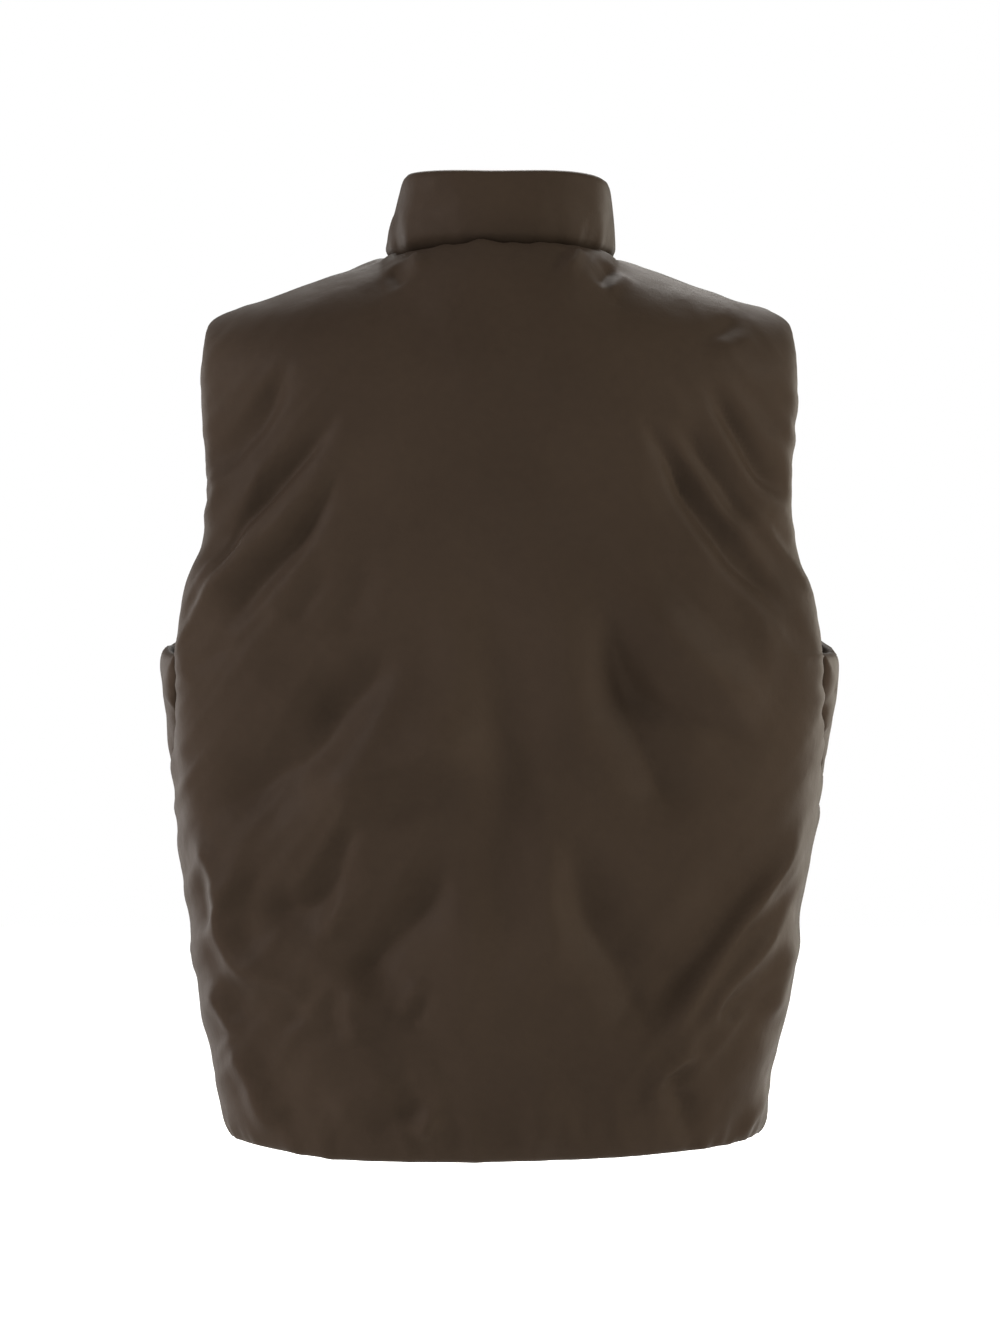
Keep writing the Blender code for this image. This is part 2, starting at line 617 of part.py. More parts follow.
def add_zip(panels, normals):
    """The whole zip, closed: tapes, chain, retainer box, top stops, slider and pull tab."""
    line = zip_line(panels, normals)
    total = line_length(line)[-1]
    slider_at = total - SLIDER_DROP
    tape = cut_line(line, TAPE_START, total - TAPE_SHORT)
    strip("zip_tape_left", tape, TAPE_INNER, TAPE_OUTER, TAPE_THICK, TAPE)
    strip("zip_tape_right", tape, -TAPE_OUTER, -TAPE_INNER, TAPE_THICK, TAPE)
    box_end = BOX_START + BOX_LENGTH
    chain = cut_line(line, box_end + CHAIN_GAP, slider_at + CHAIN_INTO_SLIDER)
    strip("zip_teeth", chain, -CHAIN_HALF, CHAIN_HALF, CHAIN_THICK, METAL)
    strip("zip_retainer_box", cut_line(line, BOX_START, box_end), -CHAIN_HALF, CHAIN_HALF, BOX_THICK, METAL)
    stop_line = cut_line(line, slider_at + STOP_START, slider_at + STOP_END)
    strip("zip_top_stop_left", stop_line, STOP_INNER, CHAIN_HALF, CHAIN_THICK, METAL)
    strip("zip_top_stop_right", stop_line, -CHAIN_HALF, -STOP_INNER, CHAIN_THICK, METAL)
    (place, _), (above, _) = cut_line(line, slider_at, slider_at + SLIDER_SPAN)[:2]
    rise = (above - place) / np.linalg.norm(above - place)
    tilt = math.atan2(-rise[1], rise[2])
    slider(place, tilt)
    # The tab's bar lies inside the bail, against its lower post.
    outward = np.array([0, -math.cos(tilt), -math.sin(tilt)])
    upward = np.array([0, -math.sin(tilt), math.cos(tilt)])
    pull_tab(place + outward * TAB_BAR_OUT - upward * TAB_BAR_DROP, tilt)


def main():
    for old in list(bpy.data.objects):
        bpy.data.objects.remove(old)
    grids = {
        "back": back_grid(),
        "front_left": half_grid(1, "front"),
        "front_right": half_grid(-1, "front")[:, ::-1],
        "collar": collar_grid(),
    }
    panels = {name: panel_of(grid) for name, grid in grids.items()}
    normals = shared_normals(panels)
    for name, panel in panels.items():
        padded_wall(name, panel, normals[name])
    add_zip(panels, normals)


main()
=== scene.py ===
"""The looks of a padded zip vest: its plain nylon shell, its folds and its zip.

Each padded panel is rebuilt on the CAD panel's own form with a fine grid, one closed wall each.
Folds, puckers at the seams and a soft unevenness of the filling then move its outer skin.
Metres, +Z up, apart from the tables of folds and creases, which are in millimetres. The front faces -Y,
the wearer's left is +X, and the camera looks at the back.
"""

import math
from collections import defaultdict, namedtuple

import bpy
import numpy as np
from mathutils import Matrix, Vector, noise
from mathutils.kdtree import KDTree


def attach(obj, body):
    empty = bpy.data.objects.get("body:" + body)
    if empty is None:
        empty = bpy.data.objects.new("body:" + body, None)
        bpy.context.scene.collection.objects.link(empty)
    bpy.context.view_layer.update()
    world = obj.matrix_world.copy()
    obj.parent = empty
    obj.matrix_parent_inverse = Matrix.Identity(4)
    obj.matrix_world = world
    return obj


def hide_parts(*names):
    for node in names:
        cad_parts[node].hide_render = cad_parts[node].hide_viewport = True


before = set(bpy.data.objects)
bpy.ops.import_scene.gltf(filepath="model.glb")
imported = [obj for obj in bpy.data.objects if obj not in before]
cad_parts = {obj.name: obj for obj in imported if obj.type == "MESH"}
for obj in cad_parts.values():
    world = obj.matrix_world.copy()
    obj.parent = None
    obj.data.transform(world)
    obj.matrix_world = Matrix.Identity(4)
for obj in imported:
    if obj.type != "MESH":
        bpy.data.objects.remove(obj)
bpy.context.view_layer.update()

# ---- the form's sizes, as in the CAD model, but for the collar's softer top edge ----
HEM_Z = -0.663
HEM_RISE_TO = -0.560
PIT_Z = -0.2945
BLADE_Z = -0.105
MID_PLANE_Y = -0.003

NECK_HALF_WIDTH = 0.0865
NECK_POINT_Y, NECK_POINT_Z = -0.012, 0.004
NECK_BACK_Y, NECK_BACK_Z = 0.078, 0.009
NECK_FRONT_Y, NECK_FRONT_Z = -0.103, -0.052
SHOULDER_END = (0.2180, -0.010, -0.0415)
SHOULDER_SAG = 0.002

COLLAR_HALF_WIDTH = 0.077
COLLAR_LEAN_X = -0.006
COLLAR_BACK_Y, COLLAR_BACK_Z = 0.064, 0.0632
COLLAR_SIDE_Y, COLLAR_LEFT_Z, COLLAR_RIGHT_Z = -0.014, 0.0640, 0.0570
COLLAR_FRONT_Y, COLLAR_FRONT_Z = -0.097, 0.034
COLLAR_FRONT_CURVE = 1.25
COLLAR_BULGE = 0.0015
COLLAR_SQUARENESS = 0.14

PADDING = 0.016
SEAM_WALL, FREE_WALL = 0.005, 0.0022
SEAM_DIP, SEAM_REACH = 0.0065, 0.022
HEM_DIP, HEM_REACH = 0.0095, 0.024
COLLAR_REACH, COLLAR_TOP_DIP = 0.008, 0.003
HALF_GAP = 0.00016

PIT_SEAM_ANGLE = math.radians(64)
LOW_SEAM_ANGLE, LOW_SEAM_Z = math.radians(102), -0.470
UNDERARM_SHARE = 0.74
UNDERARM_RISE_LEFT, UNDERARM_RISE_RIGHT, RISE_FROM = 0.0065, 0.0010, -0.400
SQUARENESS = 0.085
NECK_SLOPE = math.radians(58)
FLAT_TOP = math.radians(90)
ZIP_OPENING = 0.008

Torso = namedtuple("Torso", "z left right")
TORSO = [
    Torso(HEM_Z, 0.2072, 0.1985),
    Torso(-0.628, 0.2108, 0.2030),
    Torso(-0.580, 0.2185, 0.2115),
    Torso(-0.516, 0.2290, 0.2215),
    Torso(-0.448, 0.2385, 0.2335),
    Torso(-0.370, 0.2468, 0.2453),
    Torso(PIT_Z, 0.2555, 0.2570),
]
Hem = namedtuple("Hem", "share left right")
HEM = [
    Hem(0.00, 0.0000, 0.0000),
    Hem(0.35, 0.0000, 0.0020),
    Hem(0.60, 0.0008, 0.0045),
    Hem(0.80, 0.0050, 0.0068),
    Hem(0.95, 0.0080, 0.0088),
    Hem(1.00, 0.0088, 0.0094),
]
Profile = namedtuple("Profile", "z back front")
PROFILE = [
    Profile(HEM_Z, 0.128, -0.131),
    Profile(-0.600, 0.137, -0.141),
    Profile(-0.500, 0.146, -0.151),
    Profile(-0.400, 0.150, -0.155),
    Profile(-0.295, 0.151, -0.154),
    Profile(-0.200, 0.150, -0.149),
    Profile(BLADE_Z, 0.146, -0.139),
]
BackEdge = namedtuple("BackEdge", "centre_z x y z")
BACK_ARMHOLE = [
    BackEdge(-0.268, 0.2400, 0.0660, -0.279),
    BackEdge(-0.240, 0.2345, 0.0680, -0.252),
    BackEdge(-0.208, 0.2238, 0.0700, -0.217),
    BackEdge(-0.175, 0.2190, 0.0710, -0.180),
    BackEdge(-0.140, 0.2210, 0.0680, -0.142),
    BackEdge(BLADE_Z, 0.2240, 0.0620, -0.105),
]
FrontEdge = namedtuple("FrontEdge", "centre_z x y z turn")
FRONT_ARMHOLE = [
    FrontEdge(-0.268, 0.2410, -0.0410, -0.2770, 80),
    FrontEdge(-0.240, 0.2335, -0.0560, -0.2510, 79),
    FrontEdge(-0.208, 0.2255, -0.0640, -0.2190, 78),
    FrontEdge(-0.175, 0.2195, -0.0680, -0.1820, 77),
    FrontEdge(-0.140, 0.2190, -0.0680, -0.1430, 76),
    FrontEdge(BLADE_Z, 0.2215, -0.0640, -0.1050, 75),
]

# ---- folds ----
# Each runs along a curve through places on its panel, (x, z) seen from in front or behind. Its places
# and sizes are in millimetres. A trough's depth is positive and a ridge's negative, and its half width
# goes from w0 to w1. Sharp 0 is a soft hollow and 1 a crease. Lean widens the flank on the left of its
# way, or the right one where it is negative, and narrows the other.
Fold = namedtuple("Fold", "path w0 w1 depth sharp lean", defaults=[0.0])
BACK_FOLDS = [
    # behind the wearer's left shoulder
    Fold([(147, -78), (171, -121), (191, -147), (210, -170)], 5, 9, 10.5, 0.9, 0.2),
    Fold([(167, -147), (183, -183), (200, -217), (219, -255)], 6, 7, -5.5, 0.6),
    Fold([(108, -109), (131, -142), (152, -164), (178, -190), (197, -217), (216, -249)],
         5, 8, 12.5, 0.9, 0.3),
    Fold([(103, -142), (132, -174), (160, -202), (188, -232), (223, -280)], 10, 12, -9, 0.4),
    Fold([(108, -147), (129, -186), (149, -216), (175, -246), (200, -280)], 6.5, 11, 11.5, 0.75, 0.2),
    Fold([(118, -222), (135, -251), (151, -278)], 8, 9, 4, 0.5),
    Fold([(131, -213), (149, -242), (171, -272)], 9, 9, -4, 0.2),
    Fold([(89, -213), (99, -246), (115, -285)], 10, 11, 3.5, 0.2),
    Fold([(180, -283), (207, -294), (233, -306)], 8, 8, 3.5, 0.5),
    # behind the right shoulder
    Fold([(-100, -115), (-113, -141), (-128, -161), (-139, -184), (-157, -210), (-175, -233),
          (-217, -261)], 5, 13, 14, 0.85, -0.15),
    Fold([(-131, -115), (-145, -145), (-164, -170), (-187, -202)], 7, 9, 9, 0.7),
    Fold([(-148, -93), (-171, -128), (-183, -147), (-194, -164), (-216, -180)], 5, 8, 10.5, 0.9),
    Fold([(-145, -109), (-165, -145), (-188, -180), (-214, -206)], 8, 9, -5, 0.3),
    Fold([(-178, -89), (-191, -111), (-209, -134)], 7, 8, 3.5, 0.6),
    Fold([(-144, -67), (-161, -60), (-177, -49)], 6, 6, 3, 0.7),
    Fold([(-148, -78), (-167, -72), (-188, -62)], 8, 8, -2, 0.2),
    Fold([(-122, -163), (-138, -199), (-157, -228), (-180, -254), (-193, -285), (-196, -322)],
         12, 10, -6.5, 0.4),
    Fold([(-77, -249), (-87, -297), (-109, -329), (-148, -348), (-203, -363)], 7, 14, 9, 0.6, 0.3),
    Fold([(-84, -228), (-116, -275), (-154, -311), (-201, -337)], 18, 18, -13, 0.2),
    Fold([(-80, -271), (-92, -329), (-108, -369), (-131, -424)], 12, 24, 15, 0.6, -0.1),
    # the waist, left
    Fold([(74, -274), (90, -313), (113, -337), (132, -363), (164, -382), (219, -413)],
         12, 26, 20, 0.6, 0.1),
    Fold([(61, -297), (97, -356), (147, -401)], 10, 12, -5.5, 0.3),
    Fold([(-1, -345), (34, -361), (83, -375), (144, -405)], 18, 18, -14.5, 0.4),
    Fold([(21, -394), (71, -405), (129, -434)], 14, 14, 5, 0.2),
    Fold([(104, -410), (116, -449), (126, -467), (147, -480), (183, -478)], 9, 13, 15, 0.75),
    Fold([(93, -418), (113, -452), (118, -479), (131, -502)], 7, 8, -6.5, 0.5),
    Fold([(27, -436), (56, -478), (80, -503), (110, -538)], 11, 24, 16, 0.6, 0.1),
    Fold([(-44, -495), (6, -535), (57, -581)], 26, 26, -9.5, 0),
    Fold([(184, -426), (193, -459), (202, -480), (197, -506), (183, -528), (171, -545)],
         7, 8, -10, 0.85),
    Fold([(171, -434), (180, -470), (185, -495), (173, -518)], 9, 9, 5.5, 0.4),
    Fold([(227, -421), (207, -450), (202, -479)], 6, 7, -7, 0.7),
    Fold([(214, -449), (218, -473), (212, -499)], 7, 8, 4.5, 0.7),
    Fold([(213, -532), (204, -551), (191, -573)], 6, 6, -7.5, 0.9),
    Fold([(204, -525), (193, -545), (180, -568)], 8, 8, 5, 0.6),
    Fold([(190, -518), (167, -529), (138, -544)], 7, 7, -6.5, 0.6),
    Fold([(162, -531), (152, -547), (142, -567)], 8, 9, 5, 0.6),
    Fold([(95, -527), (108, -545), (106, -558), (97, -576)], 6, 7, -6.5, 0.8),
    Fold([(106, -532), (118, -551), (115, -576)], 9, 9, 5, 0.4),
    Fold([(53, -524), (62, -540), (69, -555)], 5.5, 6, -5, 0.6),
    Fold([(48, -532), (56, -548), (65, -566)], 6, 6, 4.5, 0.8),
    Fold([(41, -606), (63, -620), (96, -639)], 8, 9, 5, 0.6),
    Fold([(69, -589), (86, -606), (126, -626)], 9, 9, -5.5, 0.4),
    Fold([(43, -618), (51, -631), (58, -645)], 5.5, 6, -6.5, 0.8),
    Fold([(201, -570), (181, -600), (163, -648)], 7, 8, -8.5, 0.7),
    Fold([(187, -571), (165, -607), (148, -648)], 10, 10, 5.5, 0.3),
    # the waist, right
    Fold([(-45, -415), (-64, -477), (-82, -511), (-102, -549), (-119, -579)],
         12, 24, 17.5, 0.6, -0.1),
    Fold([(-229, -417), (-209, -446), (-195, -462), (-181, -482), (-166, -505), (-148, -531),
          (-131, -557), (-118, -577)], 6, 7, -13.5, 0.95, -0.35),
    Fold([(-212, -424), (-183, -459), (-158, -491), (-134, -524), (-112, -557)], 18, 20, 11.5, 0.4),
    Fold([(-212, -462), (-181, -498), (-157, -534), (-138, -576)], 7, 7, 5, 0.8),
    Fold([(-217, -475), (-186, -515), (-164, -537), (-151, -574)], 7, 7, -7.5, 0.8),
    Fold([(-219, -478), (-208, -535), (-194, -568)], 7, 8, -5.5, 0.6),
    Fold([(-206, -551), (-178, -545), (-157, -561)], 7, 8, 5, 0.7),
    Fold([(-148, -577), (-138, -594), (-126, -610), (-136, -622), (-128, -645)], 5.5, 6, 8, 0.9),
    Fold([(-99, -603), (-122, -594), (-149, -580)], 6, 7, -7, 0.7),
    Fold([(-102, -618), (-116, -615), (-129, -609)], 5.5, 6, -4, 0.6),
    # down the middle
    Fold([(-1, -170), (-3, -300), (-3, -440), (-1, -600)], 22, 13, 6, 0.4),
    Fold([(27, -235), (34, -329), (50, -385)], 20, 20, -8.5, 0),
    Fold([(-37, -210), (-50, -314), (-62, -385)], 21, 21, -9.5, 0),
    Fold([(-33, -380), (-36, -450), (-44, -540)], 14, 15, -6.5, 0.3),
    Fold([(34, -440), (26, -495), (26, -560)], 18, 20, -6, 0),
    Fold([(-31, -579), (-34, -618), (-37, -658)], 11, 12, -4, 0.2),
    # round the neckline, where the yoke puffs up
    Fold([(85, -40), (40, -22), (-40, -22), (-85, -40)], 28, 28, -9, 0),
    Fold([(-44, -28), (-52, -14), (-57, -1)], 5, 5, -5, 0.8),
    Fold([(-34, -26), (-41, -13), (-45, -2)], 5, 5, 2.5, 0.6),
    Fold([(-71, -30), (-77, -20), (-84, -10)], 6, 6, 5, 0.7),
    Fold([(-77, -34), (-86, -24), (-93, -15)], 6, 6, -3.5, 0.3),
    Fold([(69, -30), (74, -20), (80, -13)], 6, 6, 4, 0.6),
    Fold([(54, -23), (58, -13), (61, -2)], 5, 6, -5, 0.6),
]
FRONT_LEFT_FOLDS = [
    Fold([(105, -112), (150, -170), (206, -240)], 11, 17, 13.5, 0.5),
    Fold([(100, -140), (150, -215), (225, -300)], 14, 15, -7.5, 0.1),
    Fold([(150, -90), (178, -126), (202, -158)], 9, 11, 9.5, 0.7),
    Fold([(78, -300), (140, -372), (226, -412)], 19, 22, 10.5, 0.2),
    Fold([(60, -438), (90, -486), (160, -512)], 14, 16, 9, 0.4),
    Fold([(192, -455), (214, -505), (176, -560)], 10, 11, -8, 0.4),
    Fold([(45, -556), (80, -606), (128, -632)], 12, 13, 7, 0.4),
]
FRONT_RIGHT_FOLDS = [
    Fold([(-98, -108), (-140, -176), (-204, -236)], 13, 18, 13.5, 0.4),
    Fold([(-146, -96), (-176, -136), (-206, -160)], 8, 10, 10, 0.7),
    Fold([(-60, -196), (-112, -262), (-196, -322)], 17, 20, 9.5, 0.3),
    Fold([(-74, -352), (-126, -410), (-214, -446)], 19, 21, 10, 0.2),
    Fold([(-216, -470), (-166, -520), (-112, -596)], 11, 11, -12, 0.6),
    Fold([(-52, -470), (-78, -528), (-62, -588)], 14, 14, 7, 0.3),
]
COLLAR_FOLDS = [
    # lightly crumpled where it was folded
    Fold([(62, 20), (50, 34), (28, 40)], 8, 9, 1.6, 0.3),
    Fold([(-70, 30), (-50, 42), (-30, 36)], 8, 8, 1.4, 0.3),
]
FOLDS = {
    "back": BACK_FOLDS,
    "front_left": FRONT_LEFT_FOLDS,
    "front_right": FRONT_RIGHT_FOLDS,
    "collar": COLLAR_FOLDS,
}

# How far folds stray from their smooth lines, over what length, and how they fade in and out on the way.
FOLD_WANDER, WANDER_LENGTH = 0.0016, 0.035
FADE_IN, FADE_OUT = 0.40, 0.25
# How far a crease's section reaches, in half widths, how steep it is, and how far out a fold is worked out.
CREASE_REACH, CREASE_POWER, FOLD_REACH = 1.9, 1.35, 2.3
# How much of their depth reaches the free edges, and the most that it may be.
EDGE_SWAY, MOST_SWAY = 0.9, 0.006
# The padding left under the deepest folds.
LEAST_WALL = 0.005
# Each crease lies in a broad hollow: its share of the depth, and how many times wider it is.
FLANK_SHARE = 0.35
FLANK_SPREAD = 2.4
# The uneven filling, in large lumps and small ones, and the inner skin's waves: (length, depth).
LARGE_LUMPS, SMALL_LUMPS, INNER_WAVES = (0.075, 0.0016), (0.028, 0.0006), (0.050, 0.0012)
# Puckers at the edges: (length, reach) of the long and the short ones, and how they come and go.
LONG_PUCKERS, SHORT_PUCKERS, PUCKERS_VARY = (0.022, 0.030), (0.010, 0.013), 0.090
FREE_PUCKER, SEAM_PUCKER, HEM_PUCKER = 0.0012, 0.0040, 0.0026
PUCKER_START, EDGE_BLUR = 0.004, 0.006

# Zones of narrow creases: centre, reach, the way they run in degrees, and sizes, all in millimetres.
Crinkle = namedtuple("Crinkle", "panel centre reach angle length width depth")
CRINKLES = [
    Crinkle("back", (190, -200), (70, 120), -52, 110, 11, 2.2),
    Crinkle("back", (-180, -190), (70, 120), -129, 110, 11, 2.2),
    Crinkle("back", (170, -490), (90, 130), -56, 80, 12, 2.6),
    Crinkle("back", (-185, -540), (80, 120), -55, 90, 11, 2.4),
    Crinkle("back", (0, -400), (130, 260), 88, 170, 45, 2.6),
    Crinkle("back", (0, -645), (220, 40), 82, 55, 16, 3),
    Crinkle("front_left", (180, -200), (75, 130), -50, 95, 18, 3.4),
    Crinkle("front_left", (170, -500), (90, 160), -60, 90, 19, 2.8),
    Crinkle("front_left", (60, -400), (70, 280), 84, 110, 26, 2),
    Crinkle("front_right", (-180, -210), (75, 130), -130, 95, 18, 3.4),
    Crinkle("front_right", (-170, -480), (90, 160), -124, 90, 19, 2.8),
    Crinkle("front_right", (-60, -380), (70, 280), 97, 110, 26, 2),
    Crinkle("collar", (20, 34), (90, 50), 12, 60, 16, 1),
]

# ---- camera and stage ----
CAMERA_X, CAMERA_Z = -0.00075, -0.3035
CAMERA_DISTANCE = 3.2
FRAME_HEIGHT = 1.0005
SENSOR = 36.0
FLOOR_Z, FLOOR_HALF = -1.05, 9.0
LIT_POINT = (0.0, 0.0, -0.30)
Softbox = namedtuple("Softbox", "name place width height power colour")
SOFTBOXES = [
    Softbox("left_box", (2.8, 0.75, 0.9), 0.8, 1.6, 285, (1.0, 0.95, 0.98)),
    Softbox("right_box", (-2.8, 0.75, 0.9), 0.8, 1.6, 275, (1.0, 0.96, 0.88)),
    Softbox("camera_box", (0.0, 3.6, -0.5), 1.0, 1.0, 120, (1.0, 0.96, 0.93)),
    Softbox("left_rim", (2.3, -2.3, -0.4), 1.0, 2.2, 150, (1.0, 0.96, 0.93)),
    Softbox("right_rim", (-2.3, -2.3, -0.4), 1.0, 2.2, 220, (1.0, 0.94, 0.82)),
    Softbox("front_box", (-0.20, -2.4, 1.9), 1.4, 1.2, 200, (1.0, 0.97, 0.93)),
]

Panel = namedtuple("Panel", "points quads border first_row uv")


def smooth(t):
    """0 to 1 with level ends."""
    t = np.clip(t, 0.0, 1.0)
    return t * t * (3 - 2 * t)


def through(table, key, column, at):
    """The value of a table's column at a place between its rows, on a smooth curve through them."""
    xs = np.array([getattr(row, key) for row in table])
    ys = np.array([getattr(row, column) for row in table])
    slopes = np.gradient(ys, xs)
    i = int(np.clip(np.searchsorted(xs, at) - 1, 0, len(xs) - 2))
    step = xs[i + 1] - xs[i]
    t = (at - xs[i]) / step
    return float(
        (2 * t**3 - 3 * t**2 + 1) * ys[i]
        + (t**3 - 2 * t**2 + t) * step * slopes[i]
        + (3 * t**2 - 2 * t**3) * ys[i + 1]
        + (t**3 - t**2) * step * slopes[i + 1]
    )


def across(angle):
    """How far a section reaches sideways at this angle from its centre, as a share of its half width."""
    return np.sin(angle) * (1 + SQUARENESS * np.sin(2 * angle) ** 2)


def outwards(angle):
    """How far a section stands out at this angle from its centre, as a share of its depth."""
    return np.cos(angle) * (1 + SQUARENESS * np.sin(2 * angle) ** 2)


def seam_angle(z):
    """The side seam's angle from the centre back: it swings forward below the armhole."""
    swing = smooth((PIT_Z - z) / (PIT_Z - LOW_SEAM_Z))
    return PIT_SEAM_ANGLE + (LOW_SEAM_ANGLE - PIT_SEAM_ANGLE) * swing


def torso_edge(z, side):
    """The side seam's point on the row at this height, on the wearer's left, side 1, or right, side -1."""
    half = through(TORSO, "z", "left" if side > 0 else "right", z)
    back = through(PROFILE, "z", "back", z)
    y = MID_PLANE_Y + (back - MID_PLANE_Y) * outwards(seam_angle(z))
    return np.array([side * half * across(seam_angle(z)), y, z])


def armhole_edge(centre_z, side, face):
    """(the panel's side edge, the angle that its section turns through) for a row above the underarm."""
    if face == "back":
        x, y, z = torso_edge(PIT_Z, 1)
        rows = [BackEdge(PIT_Z, x, y, z), *BACK_ARMHOLE]
        turn = PIT_SEAM_ANGLE
    else:
        x, y, z = torso_row(PIT_Z, np.array([UNDERARM_SHARE]), 1, face)[0]
        turn = math.degrees(UNDERARM_SHARE * (math.pi - PIT_SEAM_ANGLE))
        rows = [FrontEdge(PIT_Z, x, y, z, turn), *FRONT_ARMHOLE]
        turn = math.radians(through(rows, "centre_z", "turn", centre_z))
    edge = [through(rows, "centre_z", axis, centre_z) for axis in "xyz"]
    return np.array(edge) * (side, 1, 1), turn


def on_section(edge, turn, centre_y, shares, face):
    """Points of a level section that starts at the centre, share 0, and ends at edge, share 1."""
    start = math.asin(ZIP_OPENING * across(turn) / abs(edge[0])) if face == "front" else 0.0
    angle = start + (turn - start) * shares
    x = edge[0] * across(angle) / across(turn)
    out = (outwards(angle) - outwards(turn)) / (1 - outwards(turn))
    return np.stack([x, edge[1] + (centre_y - edge[1]) * out, np.full_like(x, edge[2])], axis=1)


def torso_row(z, u, side, face):
    """A row of the form below the armholes: u is 0 at the centre and 1 at the side seam."""
    turn = seam_angle(z) if face == "back" else math.pi - seam_angle(z)
    row = on_section(torso_edge(z, side), turn, through(PROFILE, "z", face, z), u, face)
    column = "left" if side > 0 else "right"
    rise = np.array([through(HEM, "share", column, share) for share in across(turn * u)])
    row[:, 2] += rise * smooth((HEM_RISE_TO - z) / (HEM_RISE_TO - HEM_Z))
    if face == "front":
        ahead = np.minimum(u / UNDERARM_SHARE, (1 - u) / (1 - UNDERARM_SHARE))
        underarm_rise = UNDERARM_RISE_LEFT if side > 0 else UNDERARM_RISE_RIGHT
        row[:, 2] += underarm_rise * smooth(ahead) * smooth((z - RISE_FROM) / (PIT_Z - RISE_FROM))
    return row


def chest_row(centre_z, w, side, face):
    """A row of the form beside the armhole: w is 0 at the centre and 1 at the armhole's edge."""
    edge, turn = armhole_edge(centre_z, side, face)
    row = on_section(edge, turn, through(PROFILE, "z", face, centre_z), w, face)
    row[:, 2] = centre_z + (edge[2] - centre_z) * w**3
    return row


def neckline(angle, side, face):
    """Points of the neckline: angle is 0 at the centre and a right angle at the shoulder's neck point."""
    far_y, far_z = (NECK_BACK_Y, NECK_BACK_Z) if face == "back" else (NECK_FRONT_Y, NECK_FRONT_Z)
    out = np.maximum(np.cos(angle), 0)
    x = side * NECK_HALF_WIDTH * np.sin(angle)
    y = NECK_POINT_Y + (far_y - NECK_POINT_Y) * out
    return np.stack([x, y, NECK_POINT_Z + (far_z - NECK_POINT_Z) * out**1.5], axis=1)


def top_row(w, neck_share, side, face):
    """The panel's top edge: the neckline up to neck_share, and then the shoulder seam."""
    start = math.asin(ZIP_OPENING / NECK_HALF_WIDTH) if face == "front" else 0.0
    angle = start + (math.pi / 2 - start) * np.minimum(w / neck_share, 1)
    row = neckline(angle, side, face)
    share = np.maximum(w - neck_share, 0)[:, None] / (1 - neck_share)
    end = np.array([side * SHOULDER_END[0], *SHOULDER_END[1:]])
    on_seam = row[w >= neck_share][:1] if np.any(w >= neck_share) else row[-1:]
    row = np.where(share > 0, on_seam + (end - on_seam) * share, row)
    row[:, 2] -= SHOULDER_SAG * np.sin(math.pi * share[:, 0])
    return row


def shoulder_rows(t, w, neck_share, side, face):
    """Rows between the shoulder blades, t 0, and the neckline or shoulder seam, t 1."""
    low, high = chest_row(BLADE_Z, w, side, face), top_row(w, neck_share, side, face)
    last = NECK_SLOPE + (FLAT_TOP - NECK_SLOPE) * smooth(w / neck_share)
    angle = np.outer(t, last)[..., None]
    rows = low + (high - low) * (1 - np.cos(angle)) / (1 - np.cos(last))[:, None]
    rows[..., 2] = (low[:, 2] + (high - low)[:, 2] * np.sin(angle[..., 0]) / np.sin(last))
    return rows


# ---- grids ----
NECK_SHARE = 0.32
CELL = 0.0034
FINE_BAND, FINE_CELL = 0.016, 0.0022
# About how long each stretch of the grids is along the cloth, which sets how many lines it has.
NECK_RUN, SIDE_RUN, UNDERARM_RUN, SHOULDER_RUN, COLLAR_RUN = 0.118, 0.190, 0.115, 0.165, 0.062


def stops(length, fine_start=True, fine_end=True):
    """Places from 0 to 1 along a line of this length, closer together near its ends."""
    count = max(2, round(FINE_BAND / FINE_CELL)) + 1
    start, end = FINE_BAND * fine_start, length - FINE_BAND * fine_end
    parts = [np.linspace(start, end, max(2, round((end - start) / CELL)) + 1)]
    if fine_start:
        parts.append(np.linspace(0, start, count))
    if fine_end:
        parts.append(np.linspace(end, length, count))
    return np.unique(np.round(np.concatenate(parts) / length, 9))


def half_columns():
    """The grid's lines from the centre, 0, to the armhole's edge, 1, with one on the neck point."""
    neck = np.linspace(0, NECK_SHARE, round(NECK_RUN / CELL) + 1)
    rest = NECK_SHARE + (1 - NECK_SHARE) * stops(SIDE_RUN, fine_start=False)
    return np.unique(np.round(np.concatenate([neck, rest]), 9))


TORSO_ROWS = HEM_Z + (PIT_Z - HEM_Z) * stops(PIT_Z - HEM_Z)
CHEST_ROWS = PIT_Z + (BLADE_Z - PIT_Z) * stops(BLADE_Z - PIT_Z, fine_end=False)[1:]
SHOULDER_ROWS = stops(SHOULDER_RUN, fine_start=False)[1:]


def half_grid(side, face):
    """One half of the form's back or front as rows of points, from the hem up and from the centre out."""
    lines = half_columns()
    torso_lines = lines
    if face == "front":
        underarm = UNDERARM_SHARE + (1 - UNDERARM_SHARE) * stops(UNDERARM_RUN)[1:]
        torso_lines = np.concatenate([UNDERARM_SHARE * lines, underarm])
    missing = np.full((len(torso_lines) - len(lines), 3), np.nan)
    rows = [torso_row(z, torso_lines, side, face) for z in TORSO_ROWS]
    rows += [np.concatenate([chest_row(z, lines, side, face), missing]) for z in CHEST_ROWS]
    shoulder = shoulder_rows(SHOULDER_ROWS, lines, NECK_SHARE, side, face)
    rows += [np.concatenate([row, missing]) for row in shoulder]
    return np.array(rows)


def back_grid():
    right, left = half_grid(-1, "back"), half_grid(1, "back")
    return np.concatenate([left[:, :0:-1], right], axis=1)


